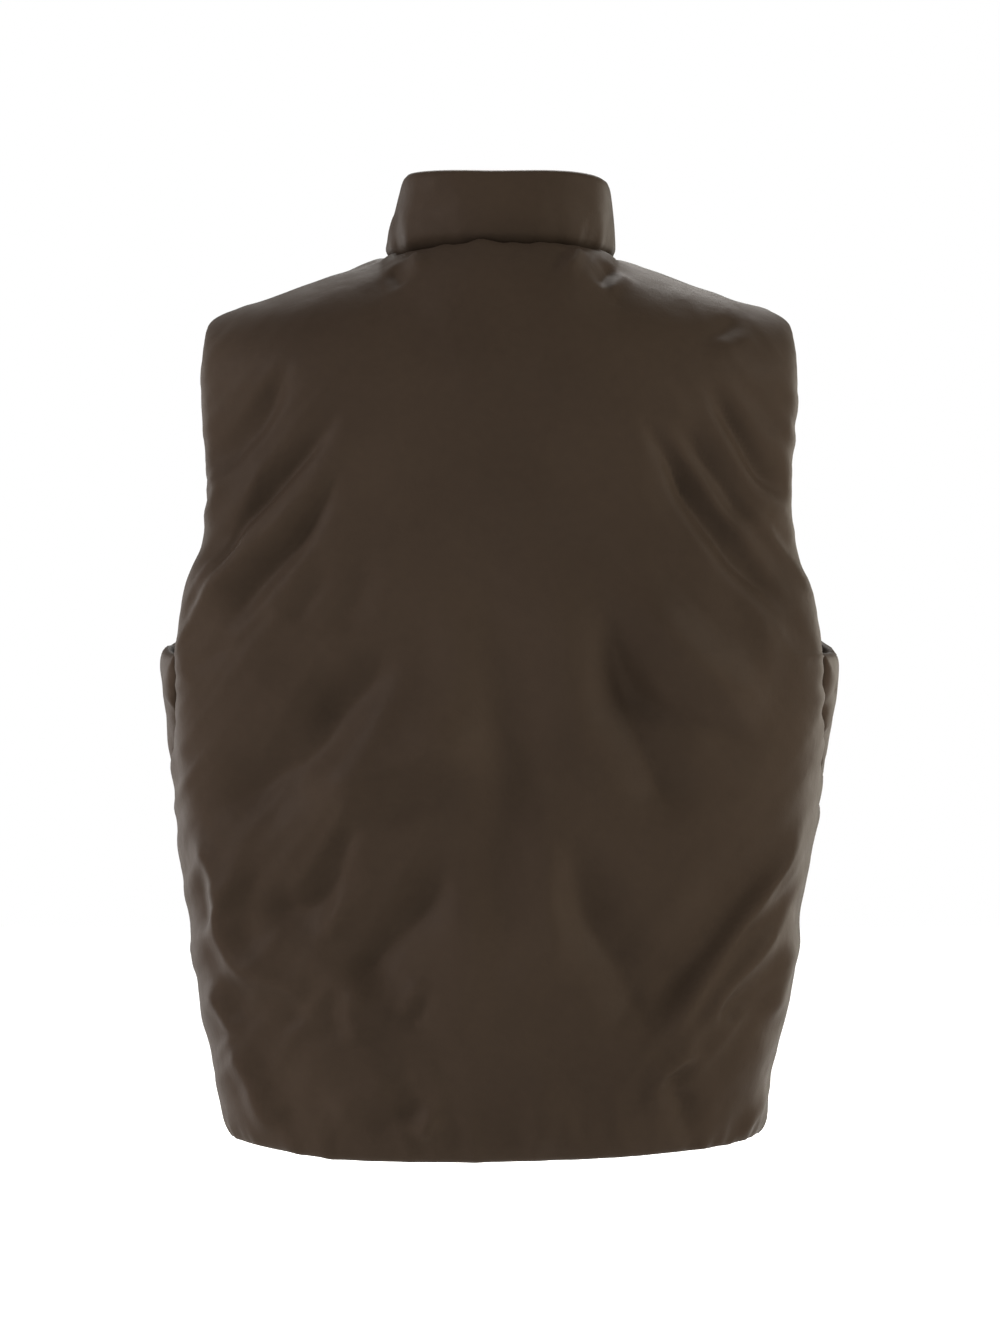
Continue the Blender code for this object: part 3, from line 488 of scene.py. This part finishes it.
def collar_ring():
    """(angles, sides, faces) of the collar's grid lines, from the left of the zip round to its right."""
    start = math.asin(ZIP_OPENING / NECK_HALF_WIDTH)
    lines = half_columns()
    shares = lines[lines <= NECK_SHARE + 1e-9] / NECK_SHARE
    front = [(start + (math.pi / 2 - start) * share, "front") for share in shares]
    back = [(math.pi / 2 * share, "back") for share in shares[:-1]]
    left = [(angle, 1, face) for angle, face in front + back[::-1]]
    right = [(angle, -1, face) for angle, face in back[1:] + front[::-1]]
    return left + right


def collar_grid():
    rows = stops(COLLAR_RUN)
    grid = np.zeros((len(rows), len(collar_ring()), 3))
    for j, (angle, side, face) in enumerate(collar_ring()):
        low = neckline(np.array([angle]), side, face)[0]
        side_z = COLLAR_LEFT_Z if side > 0 else COLLAR_RIGHT_Z
        if face == "back":
            far_y, far_z, curve = COLLAR_BACK_Y, COLLAR_BACK_Z, 1.0
            corner = 1 + COLLAR_SQUARENESS * math.sin(2 * angle) ** 2
        else:
            far_y, far_z, curve = COLLAR_FRONT_Y, COLLAR_FRONT_Z, COLLAR_FRONT_CURVE
            corner = 1.0
        out = max(math.cos(angle) * corner, 0)
        x = side * COLLAR_HALF_WIDTH * math.sin(angle) * corner + COLLAR_LEAN_X * math.sin(angle) ** 2
        if face == "front":
            x = side * max(abs(x), ZIP_OPENING)
        high = (x, COLLAR_SIDE_Y + (far_y - COLLAR_SIDE_Y) * out, side_z + (far_z - side_z) * out**curve)
        away = np.array([side * math.sin(angle), math.cos(angle) * (1 if face == "back" else -1), 0])
        from_zip = (abs(low[0]) - ZIP_OPENING) / (NECK_HALF_WIDTH - ZIP_OPENING)
        at_zip = min(1.0, 2 * from_zip) if face == "front" else 1.0
        bulge = COLLAR_BULGE * np.sin(math.pi * rows)[:, None] * at_zip
        grid[:, j] = low + (high - low) * rows[:, None] + away * bulge
    return grid


def panel_of(grid):
    """A grid's points in one list, with its quads, its border's edges, and its lengths along the cloth."""
    present = ~np.isnan(grid[..., 0])
    number = np.cumsum(present).reshape(present.shape) - 1
    corners = (number[:-1, :-1], number[:-1, 1:], number[1:, 1:], number[1:, :-1])
    whole = present[:-1, :-1] & present[:-1, 1:] & present[1:, 1:] & present[1:, :-1]
    quads = np.stack([corner[whole] for corner in corners], axis=1)
    edges = {(int(quad[k]), int(quad[(k + 1) % 4])) for quad in quads for k in range(4)}
    border = sorted(edge for edge in edges if edge[::-1] not in edges)
    steps = np.linalg.norm(np.diff(np.nan_to_num(grid), axis=1), axis=2)
    along = np.concatenate([np.zeros((len(grid), 1)), np.cumsum(steps, axis=1)], axis=1)
    steps = np.linalg.norm(np.diff(np.nan_to_num(grid), axis=0), axis=2)
    rise = np.concatenate([np.zeros((1, grid.shape[1])), np.cumsum(steps, axis=0)])
    middle = along[:, [grid.shape[1] // 2]]
    uv = np.stack([along - middle, rise], axis=2)
    return Panel(grid[present], quads, border, grid.shape[1], uv[present])


def key_of(point):
    """A name for a place, so that panels which meet there find each other."""
    return tuple(int(round(value * 1e5)) for value in point)


def raw_normals(points, quads):
    """Normals of a surface's points, as long as the faces round them are large."""
    a, b, c, d = (points[quads[:, k]] for k in range(4))
    normal = np.zeros_like(points)
    for k in range(4):
        np.add.at(normal, quads[:, k], np.cross(c - a, d - b))
    return normal


def edge_points(panel):
    """The numbers of the points on a panel's border."""
    return {i for edge in panel.border for i in edge}


def shared_normals(panels):
    """Unit normals of each panel's points, averaged with the panels that it is sewn to."""
    total, count = defaultdict(lambda: np.zeros(3)), defaultdict(int)
    own = {name: raw_normals(panel.points, panel.quads) for name, panel in panels.items()}
    for name, panel in panels.items():
        for i in edge_points(panel):
            total[key_of(panel.points[i])] += own[name][i]
            count[key_of(panel.points[i])] += 1
    sewn = {}
    for name, panel in panels.items():
        sewn[name] = set()
        for i in edge_points(panel):
            point = panel.points[i]
            own[name][i] = total[key_of(point)]
            at_zip = abs(point[0]) < 1.01 * ZIP_OPENING and point[1] < 0
            if at_zip:
                own[name][i][0] = 0.0
            if at_zip or count[key_of(point)] > 1:
                sewn[name].add(i)
        own[name] /= np.linalg.norm(own[name], axis=1, keepdims=True)
    return own, sewn


# ---- folds, puckers and walls ----
class Border:
    """A panel's edge as one closed line, with each of the panel's points measured against it."""

    def __init__(self, panel, sewn):
        follows = dict(panel.border)
        loop = [panel.border[0][0]]
        while follows[loop[-1]] != loop[0]:
            loop.append(follows[loop[-1]])
        self.loop = np.array(loop)
        corners = panel.points[self.loop]
        ahead = np.roll(corners, -1, axis=0)
        lengths = np.linalg.norm(ahead - corners, axis=1)
        start = np.concatenate([[0], np.cumsum(lengths)[:-1]])
        self.sewn = np.array([i in sewn for i in loop])
        self.hem = np.array([i < panel.first_row for i in loop])
        tree = KDTree(len(loop))
        for i, corner in enumerate(corners):
            tree.insert(corner, i)
        tree.balance()
        nearest = np.array([tree.find(point)[1] for point in panel.points])
        self.nearest = nearest
        self.distance = np.full(len(panel.points), np.inf)
        self.place = np.zeros(len(panel.points))
        for first in (nearest, (nearest - 1) % len(loop)):
            along = ahead[first] - corners[first]
            away = panel.points - corners[first]
            share = np.clip((away * along).sum(1) / (along**2).sum(1), 0, 1)
            distance = np.linalg.norm(away - share[:, None] * along, axis=1)
            closer = distance < self.distance
            self.distance[closer] = distance[closer]
            self.place[closer] = (start[first] + share * lengths[first])[closer]

    def share_of(self, flags, reach):
        """How much of the border near each point is flagged, softly over this reach, from 0 to 1."""
        spread = max(1, round(reach / CELL))
        kernel = np.ones(2 * spread + 1) / (2 * spread + 1)
        padded = np.concatenate([flags[-spread:], flags, flags[:spread]]).astype(float)
        return np.convolve(padded, kernel, mode="valid")[self.nearest]


def rounding(distance, reach):
    """1 at an edge, falling to 0 at reach from it, as a quarter of a circle."""
    share = 1 - np.clip(distance / reach, 0, 1)
    return 1 - np.sqrt(1 - share**2)


def wave(values, length, seed):
    """Smooth noise from -1 to 1 along a line."""
    return np.array([noise.noise((value / length, 7.3 * seed, 0.0)) for value in values])


def unevenness(points, length, seed):
    """Smooth noise from -1 to 1 in space."""
    shift = 3.7 * seed
    places = [(x / length + shift, y / length, z / length - shift) for x, y, z in points]
    return np.array([noise.noise(place) for place in places])


def lumps(points, size, seed):
    """Soft lumps in space of this size, (length, depth)."""
    length, depth = size
    return unevenness(points, length, seed) * depth


def smooth_line(places, parts=8):
    """More places along a smooth line through these places, and each one's share of the way."""
    ends = 2 * places[[0, -1]] - places[[1, -2]]
    padded = np.concatenate([ends[:1], places, ends[1:]])
    t = np.linspace(0, 1, parts, endpoint=False)[:, None]
    line = [
        b + 0.5 * ((c - a) * t + (2 * a - 5 * b + 4 * c - d) * t**2 + (3 * b - a - 3 * c + d) * t**3)
        for a, b, c, d in zip(padded, padded[1:], padded[2:], padded[3:])
    ]
    line = np.concatenate([*line, places[-1:]])
    way = np.concatenate([[0], np.cumsum(np.linalg.norm(np.diff(line, axis=0), axis=1))])
    return line, way / way[-1]


def beside_line(flat, line, way):
    """Each point's distance from a line, its share of the way along it, and its side, left being 1."""
    best, place, side = np.full(len(flat), np.inf), np.zeros(len(flat)), np.zeros(len(flat))
    for i in range(len(line) - 1):
        along = line[i + 1] - line[i]
        away = flat - line[i]
        share = np.clip(away @ along / (along @ along), 0, 1)
        distance = np.linalg.norm(away - share[:, None] * along, axis=1)
        closer = distance < best
        best[closer] = distance[closer]
        place[closer] = (way[i] + share * (way[i + 1] - way[i]))[closer]
        side[closer] = np.sign(along[0] * away[:, 1] - along[1] * away[:, 0])[closer]
    return best, place, side


def fold_depth(points, name):
    """How far the folds of a panel sink each of its points."""
    depth = np.zeros(len(points))
    shift = np.stack([unevenness(points, WANDER_LENGTH, seed) for seed in (21, 22)], axis=1)
    flat = points[:, [0, 2]] + FOLD_WANDER * shift
    for fold in FOLDS[name]:
        line, way = smooth_line(np.array(fold.path) / 1000)
        first, last, deepest = fold.w0 / 1000, fold.w1 / 1000, fold.depth / 1000
        reach = FOLD_REACH * FLANK_SPREAD * max(first, last) * (1 + abs(fold.lean))
        near = np.all((flat > line.min(axis=0) - reach) & (flat < line.max(axis=0) + reach), axis=1)
        distance, place, side = beside_line(flat[near], line, way)
        ratio = distance / ((first + (last - first) * place) * (1 + fold.lean * side))
        soft = np.exp(-(ratio**2))
        crease = np.clip(1 - ratio / CREASE_REACH, 0, 1) ** CREASE_POWER
        narrow = soft + (crease - soft) * fold.sharp
        shape = narrow + FLANK_SHARE * (np.exp(-((ratio / FLANK_SPREAD) ** 2)) - narrow)
        fade = smooth(place / FADE_IN) * smooth((1 - place) / FADE_OUT)
        depth[near] += deepest * shape * fade
    if name == "collar":
        return depth * (points[:, 1] > 0)
    return depth


def crinkle_depth(points, name):
    """Narrow, uneven creases that run one way in a zone of a panel, deepest at its middle."""
    depth = np.zeros(len(points))
    for number, zone in enumerate(CRINKLES):
        if zone.panel != name:
            continue
        away = points[:, [0, 2]] - np.array(zone.centre) / 1000
        wide, high = np.array(zone.reach) / 1000
        mask = np.exp(-((away[:, 0] / wide) ** 2) - (away[:, 1] / high) ** 2)
        turn = math.radians(zone.angle)
        along = away @ (math.cos(turn), math.sin(turn)) / (zone.length / 1000)
        beside = away @ (-math.sin(turn), math.cos(turn)) / (zone.width / 1000)
        for i in np.nonzero(mask > 0.02)[0]:
            bend = 0.9 * noise.noise((0.6 * along[i], 0.35 * beside[i], 5.1 * number))
            height = noise.noise((along[i], beside[i] + bend, 2.3 * number + 9))
            depth[i] += zone.depth / 1000 * mask[i] * (1.4 * height + 0.6 * (0.3 - abs(height)))
    return depth


def seam_allowance(panel, normals):
    """Moves of the border's points into the panel, which leave half of each seam's gap."""
    inward = defaultdict(list)
    for a, b in panel.border:
        across_edge = np.cross(normals[a] + normals[b], panel.points[b] - panel.points[a])
        across_edge /= np.linalg.norm(across_edge)
        inward[a].append(across_edge)
        inward[b].append(across_edge)
    moves = np.zeros_like(panel.points)
    for i, (one, other) in inward.items():
        moves[i] = HALF_GAP * (one + other) / (1 + one @ other)
    return moves


def puckers(border, near_seam, near_hem, seed):
    """Short creases across the border where the thread draws the cloth in."""
    strength = FREE_PUCKER + SEAM_PUCKER * near_seam + HEM_PUCKER * near_hem
    (long_length, long_reach), (short_length, short_reach) = LONG_PUCKERS, SHORT_PUCKERS
    long = wave(border.place, long_length, seed) * np.exp(-((border.distance / long_reach) ** 2))
    short = wave(border.place, short_length, seed + 1) * np.exp(-((border.distance / short_reach) ** 2))
    uneven = 0.6 + 0.8 * wave(border.place, PUCKERS_VARY, seed + 2)
    return strength * (long + 0.7 * short) * np.clip(uneven, 0.1, 1.4)


def padded_panel(name, panel, normals, sewn, seed):
    """One closed padded wall: its outer skin has the folds, and its inner skin is calmer."""
    border = Border(panel, sewn)
    near_seam = border.share_of(border.sewn, EDGE_BLUR)
    near_hem = border.share_of(border.hem, EDGE_BLUR) * (name != "collar")
    edge_wall = FREE_WALL + (SEAM_WALL - FREE_WALL) * near_seam
    closing = rounding(border.distance, COLLAR_REACH if name == "collar" else SEAM_REACH)
    to_hem = np.where(near_hem > 0, border.distance, np.inf)
    edge_dip = SEAM_DIP
    if name == "collar":
        edge_dip = COLLAR_TOP_DIP + (SEAM_DIP - COLLAR_TOP_DIP) * near_seam
    dip = np.maximum(edge_dip * closing, HEM_DIP * near_hem * rounding(to_hem, HEM_REACH))
    wall = PADDING - (PADDING - edge_wall) * closing
    open_share = 1 - closing
    creases = fold_depth(panel.points, name) + crinkle_depth(panel.points, name)
    sway = EDGE_SWAY * np.clip(creases, -MOST_SWAY, MOST_SWAY) * closing * (1 - near_seam)
    drop = creases * open_share
    drop += puckers(border, near_seam, near_hem, seed) * (1 - rounding(border.distance, PUCKER_START))
    filling = lumps(panel.points, LARGE_LUMPS, seed) + lumps(panel.points, SMALL_LUMPS, seed + 1)
    drop += filling * open_share
    points = panel.points + seam_allowance(panel, normals)
    dip += sway
    outer = points - normals * (dip + drop)[:, None]
    waves = lumps(panel.points, INNER_WAVES, seed + 5) * open_share
    inner_drop = np.maximum(wall + waves, drop + LEAST_WALL * open_share)
    inner = points - normals * (dip + inner_drop)[:, None]
    count = len(points)
    faces = [tuple(map(int, quad)) for quad in panel.quads]
    faces += [tuple(count + i for i in face[::-1]) for face in faces]
    for b, a in panel.border:
        if key_of(panel.points[a]) < key_of(panel.points[b]):
            faces += [(a, b, b + count), (a, b + count, a + count)]
        else:
            faces += [(a, b, a + count), (b, b + count, a + count)]
    piece = add_mesh(name + "_padded", np.concatenate([outer, inner]), faces)
    lay_uv(piece, np.concatenate([panel.uv, panel.uv]))
    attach(piece, "vest")
    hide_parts(name)
    return piece


def add_mesh(name, points, faces):
    mesh = bpy.data.meshes.new(name)
    mesh.from_pydata([tuple(map(float, point)) for point in points], [], faces)
    mesh.shade_smooth()
    made = bpy.data.objects.new(name, mesh)
    bpy.context.scene.collection.objects.link(made)
    return made


def lay_uv(piece, uv):
    """Gives a piece a UV map in metres along the cloth."""
    layer = piece.data.uv_layers.new(name="cloth")
    corner = np.zeros(len(piece.data.loops), dtype=np.int32)
    piece.data.loops.foreach_get("vertex_index", corner)
    layer.data.foreach_set("uv", uv[corner].astype(np.float32).ravel())


# ---- zip ----
BOX_START, BOX_LENGTH = 0.0012, 0.007
SLIDER_DROP = 0.017
GAP_AT_BOX, GAP_AT_SLIDER = 0.0014, 0.0060
TOOTH_PITCH = 0.0028
# The tapes reach to here from the middle, and this far under the panels' edges.
TAPE_INNER, TAPE_TUCK = 0.0002, 0.0015


def zip_line(panels, normals):
    """The zip's middle line in the plane x = 0, from hem to collar top: its points and outward normals."""
    line, outward = [], []
    for name in ("front_left", "collar"):
        points = panels[name].points
        at_zip = (points[:, 0] > 0) & (points[:, 0] < 1.01 * ZIP_OPENING) & (points[:, 1] < 0)
        at_zip = sorted(np.nonzero(at_zip)[0], key=lambda i: points[i][2])
        for i in at_zip[1:] if line else at_zip:
            above_hem = points[i][2] - points[at_zip[0]][2] if name == "front_left" else np.inf
            dip = max(SEAM_DIP, HEM_DIP * float(rounding(above_hem, HEM_REACH)))
            line.append((points[i] - normals[name][i] * (dip + SEAM_WALL / 2)) * (0, 1, 1))
            outward.append(normals[name][i])
    return np.array(line), np.array(outward)


class ZipPath:
    """Places on the zip by their distance from the hem."""

    def __init__(self, line, outward):
        self.line, self.outward = line, outward
        self.along = np.concatenate([[0], np.cumsum(np.linalg.norm(np.diff(line, axis=0), axis=1))])
        self.length = self.along[-1]

    def frame_at(self, distance):
        """(place, direction up the zip, direction out of it)"""
        place = np.array([np.interp(distance, self.along, self.line[:, k]) for k in range(3)])
        out = np.array([np.interp(distance, self.along, self.outward[:, k]) for k in range(3)])
        out /= np.linalg.norm(out)
        return place, np.cross(out, (-1, 0, 0)), out


def tooth_template():
    """One moulded tooth: a body on the tape and a head that reaches past the zip's middle."""
    # x towards the middle, y out of the zip, z along it, in millimetres
    outline = [(2.6, 0.62), (1.0, 0.70), (0.25, 0.50), (-0.55, 0.78), (-1.05, 0.55)]
    outline = outline + [(x, -z) for x, z in reversed(outline)]
    half, eased = 1.2, 0.22
    layers = [(-half, 0.80), (-half + eased, 1.0), (half - eased, 1.0), (half, 0.80)]
    middle = sum(x for x, _ in outline) / len(outline)
    points = [(middle + (x - middle) * size, y, z * size) for y, size in layers for x, z in outline]
    n = len(outline)
    faces = [tuple(range(n)), tuple(range(3 * n, 4 * n))[::-1]]
    for k in range(3):
        for i in range(n):
            a, b = k * n + i, k * n + (i + 1) % n
            faces.append((a, a + n, b + n, b))
    return np.array(points) / 1000, faces


def zip_teeth(path):
    points, faces = tooth_template()
    first, last = BOX_START + BOX_LENGTH + GAP_AT_BOX, path.length - SLIDER_DROP - GAP_AT_SLIDER
    count = int((last - first) / TOOTH_PITCH * 2)
    all_points, all_faces = [], []
    for i in range(count):
        side = 1 if i % 2 else -1
        place, up, out = path.frame_at(first + i * TOOTH_PITCH / 2)
        base = len(all_points) * len(points)
        local = points * (side, 1, 1)
        all_points.append(place + local[:, [0]] * (1, 0, 0) + local[:, [1]] * out + local[:, [2]] * up)
        all_faces += [tuple(base + k for k in (face if side > 0 else face[::-1])) for face in faces]
    made = add_mesh("zip_teeth_moulded", np.concatenate(all_points), all_faces)
    made.data.set_sharp_from_angle(angle=math.radians(40))
    return made


def own_copy(node, name):
    """A copy of a CAD piece that can be changed."""
    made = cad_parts[node].copy()
    made.data = made.data.copy()
    made.name = name
    made.parent = None
    made.matrix_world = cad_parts[node].matrix_world
    for key in list(made.keys()):
        del made[key]
    bpy.context.scene.collection.objects.link(made)
    return made


def tucked_copy(node, name):
    """A copy of a zip tape, widened so that its edges tuck under the teeth and under the panel's edge."""
    made = own_copy(node, name)
    reaches = [abs(vertex.co.x) for vertex in made.data.vertices]
    near, far = min(reaches), max(reaches)
    for vertex in made.data.vertices:
        share = (abs(vertex.co.x) - near) / (far - near)
        vertex.co.x = math.copysign(TAPE_INNER + share * (far + TAPE_TUCK - TAPE_INNER), vertex.co.x)
    return made


def eased_copy(node, name, width):
    """A copy of a hard CAD piece with its edges eased."""
    made = own_copy(node, name)
    weld = made.modifiers.new("weld", "WELD")
    weld.merge_threshold = 0.00001
    bevel = made.modifiers.new("eased", "BEVEL")
    bevel.width = width
    bevel.segments = 3
    bevel.limit_method = "ANGLE"
    bevel.angle_limit = math.radians(30)
    made.data.shade_smooth()
    return made


# ---- materials ----
class Nodes:
    """A new material's node tree, with short calls for the nodes that these materials share."""

    def __init__(self, name):
        self.material = bpy.data.materials.new(name)
        self.material.use_nodes = True
        self.tree = self.material.node_tree
        self.shader = self.tree.nodes["Principled BSDF"]

    def add(self, kind, **settings):
        node = self.tree.nodes.new(kind)
        for key, value in settings.items():
            setattr(node, key, value)
        return node

    def link(self, a, b):
        self.tree.links.new(a, b)

    def position(self):
        return self.add("ShaderNodeTexCoord").outputs["Object"]

    def noise(self, where, scale, detail=2.0, roughness=0.5, stretch=(1, 1, 1)):
        mapping = self.add("ShaderNodeMapping")
        mapping.inputs["Scale"].default_value = stretch
        self.link(where, mapping.inputs["Vector"])
        node = self.add("ShaderNodeTexNoise")
        node.inputs["Scale"].default_value = scale
        node.inputs["Detail"].default_value = detail
        node.inputs["Roughness"].default_value = roughness
        self.link(mapping.outputs["Vector"], node.inputs["Vector"])
        return node.outputs["Fac"]

    def math(self, operation, a, b=None, c=None):
        node = self.add("ShaderNodeMath", operation=operation)
        for socket, value in zip(node.inputs, (a, b, c)):
            if value is None:
                continue
            if isinstance(value, (int, float)):
                socket.default_value = value
            else:
                self.link(value, socket)
        return node.outputs[0]

    def ramp(self, factor, *stops_and_colours):
        node = self.add("ShaderNodeValToRGB")
        elements = node.color_ramp.elements
        while len(elements) < len(stops_and_colours):
            elements.new(0.5)
        for element, (stop, colour) in zip(elements, stops_and_colours):
            element.position = stop
            element.color = (*colour, 1)
        self.link(factor, node.inputs["Fac"])
        return node.outputs["Color"]

    def bump(self, height, strength, distance, normal=None):
        node = self.add("ShaderNodeBump")
        node.inputs["Strength"].default_value = strength
        node.inputs["Distance"].default_value = distance
        self.link(height, node.inputs["Height"])
        if normal:
            self.link(normal, node.inputs["Normal"])
        return node.outputs["Normal"]

    def threads(self, pitch):
        """Height of a plain weave: warp and weft pass over each other, pitch apart, along the UV map."""
        uv = self.add("ShaderNodeUVMap", uv_map="cloth")
        split = self.add("ShaderNodeSeparateXYZ")
        self.link(uv.outputs["UV"], split.inputs[0])
        turn = 2 * math.pi / pitch
        warp = self.math("SINE", self.math("MULTIPLY", split.outputs["X"], turn))
        weft = self.math("SINE", self.math("MULTIPLY", split.outputs["Y"], turn))
        return self.math("MULTIPLY", warp, weft)

    def set(self, **values):
        """Gives the shader's sockets of these names one value all over."""
        for key, value in values.items():
            self.shader.inputs[key.replace("_", " ")].default_value = value

    def feed(self, **outputs):
        """Links other nodes' outputs to the shader's sockets of these names."""
        for key, output in outputs.items():
            self.link(output, self.shader.inputs[key.replace("_", " ")])


WEAVE_PITCH, RIB_PITCH = 0.0007, 0.0009
SHELL_DARK = (0.0092, 0.0064, 0.0044)
SHELL_LIGHT = (0.0117, 0.0082, 0.0056)
TAPE_DARK, TAPE_LIGHT = (0.0060, 0.0044, 0.0032), (0.0105, 0.0078, 0.0057)
PLASTIC_DARK, PLASTIC_LIGHT = (0.0050, 0.0040, 0.0032), (0.0080, 0.0063, 0.0050)
ENAMEL, RUBBED_ENAMEL = (0.012, 0.010, 0.008), (0.036, 0.030, 0.025)


def shell_nylon():
    """Matte down-proof nylon: a fine plain weave, softly crinkled and a little uneven in tone."""
    cloth = Nodes("shell_nylon")
    where = cloth.position()
    tone = cloth.noise(where, 9.0, detail=3.0)
    fine_tone = cloth.noise(where, 160.0, detail=2.0)
    mixed = cloth.math("MULTIPLY_ADD", fine_tone, 0.25, cloth.math("MULTIPLY", tone, 0.75))
    colour = cloth.ramp(mixed, (0.30, SHELL_DARK), (0.70, SHELL_LIGHT))
    rough = cloth.math("MULTIPLY_ADD", cloth.noise(where, 60.0), 0.14, 0.50)
    crinkle = cloth.noise(where, 95.0, detail=3.0, roughness=0.55)
    grain = cloth.noise(where, 900.0, detail=1.0)
    normal = cloth.bump(crinkle, 0.22, 0.0016)
    normal = cloth.bump(grain, 0.12, 0.0003, normal)
    normal = cloth.bump(cloth.threads(WEAVE_PITCH), 0.10, 0.00008, normal)
    cloth.feed(Base_Color=colour, Roughness=rough, Normal=normal)
    cloth.set(Specular_IOR_Level=0.008)
    return cloth.material


def zip_tape_cloth():
    """Dark ribbed polyester tape."""
    tape = Nodes("zip_tape_cloth")
    where = tape.position()
    split = tape.add("ShaderNodeSeparateXYZ")
    tape.link(where, split.inputs[0])
    rib = tape.math("SINE", tape.math("MULTIPLY", split.outputs["Z"], 2 * math.pi / RIB_PITCH))
    # The colour is painted shade of the ribs: darker in the rib troughs and lighter on their crests. The
    # noise adds a random tone on top.
    rib_shade_and_tone = tape.math("MULTIPLY_ADD", rib, 0.2, tape.noise(where, 400.0))
    colour = tape.ramp(rib_shade_and_tone, (0.25, TAPE_DARK), (0.80, TAPE_LIGHT))
    tape.feed(Base_Color=colour, Normal=tape.bump(rib, 0.5, 0.0001))
    tape.set(Roughness=0.85, Specular_IOR_Level=0.04, Sheen_Weight=0.01)
    return tape.material


def moulded_plastic():
    """Satin dark plastic, faintly mottled."""
    plastic = Nodes("zip_plastic")
    where = plastic.position()
    colour = plastic.ramp(plastic.noise(where, 300.0), (0.3, PLASTIC_DARK), (0.7, PLASTIC_LIGHT))
    rough = plastic.math("MULTIPLY_ADD", plastic.noise(where, 700.0), 0.15, 0.30)
    normal = plastic.bump(plastic.noise(where, 1500.0), 0.1, 0.0001)
    plastic.feed(Base_Color=colour, Roughness=rough, Normal=normal)
    return plastic.material


def enamelled_metal():
    """Dark satin enamel, rubbed a little lighter where hands touch it."""
    metal = Nodes("zip_enamel")
    where = metal.position()
    wear = metal.noise(where, 420.0, detail=4.0, roughness=0.65)
    colour = metal.ramp(wear, (0.50, ENAMEL), (0.78, RUBBED_ENAMEL))
    rough = metal.math("MULTIPLY_ADD", wear, 0.25, 0.22)
    metal.feed(Base_Color=colour, Roughness=rough, Normal=metal.bump(wear, 0.08, 0.0001))
    metal.set(Metallic=0.35)
    return metal.material


def dress(piece, material):
    piece.data.materials.clear()
    piece.data.materials.append(material)


# ---- stage ----
def add_camera():
    camera = bpy.data.objects.new("camera", bpy.data.cameras.new("camera"))
    bpy.context.scene.collection.objects.link(camera)
    camera.data.sensor_width = SENSOR
    camera.data.lens = SENSOR * CAMERA_DISTANCE / FRAME_HEIGHT
    camera.location = (CAMERA_X, CAMERA_DISTANCE, CAMERA_Z)
    camera.rotation_euler = (math.radians(90), 0, math.radians(180))
    bpy.context.scene.camera = camera


def add_softbox(box):
    light = bpy.data.lights.new(box.name, "AREA")
    light.shape = "RECTANGLE"
    light.size, light.size_y = box.width, box.height
    light.energy = box.power
    light.color = box.colour
    made = bpy.data.objects.new(box.name, light)
    bpy.context.scene.collection.objects.link(made)
    made.location = box.place
    made.rotation_euler = (Vector(LIT_POINT) - Vector(box.place)).to_track_quat("-Z", "Y").to_euler()


def add_stage():
    corners = [(-1, -1), (1, -1), (1, 1), (-1, 1)]
    places = [(x * FLOOR_HALF, y * FLOOR_HALF, FLOOR_Z) for x, y in corners]
    floor = add_mesh("floor", places, [(0, 1, 2, 3)])
    pale = Nodes("pale_floor")
    where = pale.position()
    colour = pale.ramp(pale.noise(where, 2.0), (0.3, (0.90, 0.90, 0.90)), (0.7, (0.93, 0.93, 0.93)))
    pale.feed(Base_Color=colour)
    pale.set(Roughness=0.9, Emission_Color=(1, 1, 1, 1), Emission_Strength=0.25)
    dress(floor, pale.material)
    world = bpy.data.worlds.new("studio")
    world.use_nodes = True
    world.node_tree.nodes["Background"].inputs["Color"].default_value = (1, 1, 1, 1)
    world.node_tree.nodes["Background"].inputs["Strength"].default_value = 1.0
    bpy.context.scene.world = world
    for box in SOFTBOXES:
        add_softbox(box)
    bpy.context.scene.view_settings.view_transform = "Standard"


# ---- the vest ----
def add_vest():
    grids = {
        "back": back_grid(),
        "front_left": half_grid(1, "front"),
        "front_right": half_grid(-1, "front")[:, ::-1],
        "collar": collar_grid(),
    }
    panels = {name: panel_of(grid) for name, grid in grids.items()}
    normals, sewn = shared_normals(panels)
    nylon = shell_nylon()
    for seed, (name, panel) in enumerate(panels.items()):
        dress(padded_panel(name, panel, normals[name], sewn[name], 11 * seed + 3), nylon)
    return ZipPath(*zip_line(panels, normals))


def add_zip(path):
    plastic, enamel, tape = moulded_plastic(), enamelled_metal(), zip_tape_cloth()
    teeth = zip_teeth(path)
    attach(teeth, "vest")
    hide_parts("zip_teeth")
    dress(teeth, plastic)
    for node in ("zip_retainer_box", "zip_top_stop_left", "zip_top_stop_right"):
        dress(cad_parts[node], plastic)
    for node in ("zip_tape_left", "zip_tape_right"):
        tucked = tucked_copy(node, node + "_tucked")
        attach(tucked, "vest")
        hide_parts(node)
        dress(tucked, tape)
    for node, body, width in (("zip_slider", "vest", 0.0003), ("zip_pull_tab", "pull_tab", 0.0002)):
        eased = eased_copy(node, node + "_eased", width)
        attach(eased, body)
        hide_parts(node)
        dress(eased, enamel)


add_camera()
add_stage()
add_zip(add_vest())
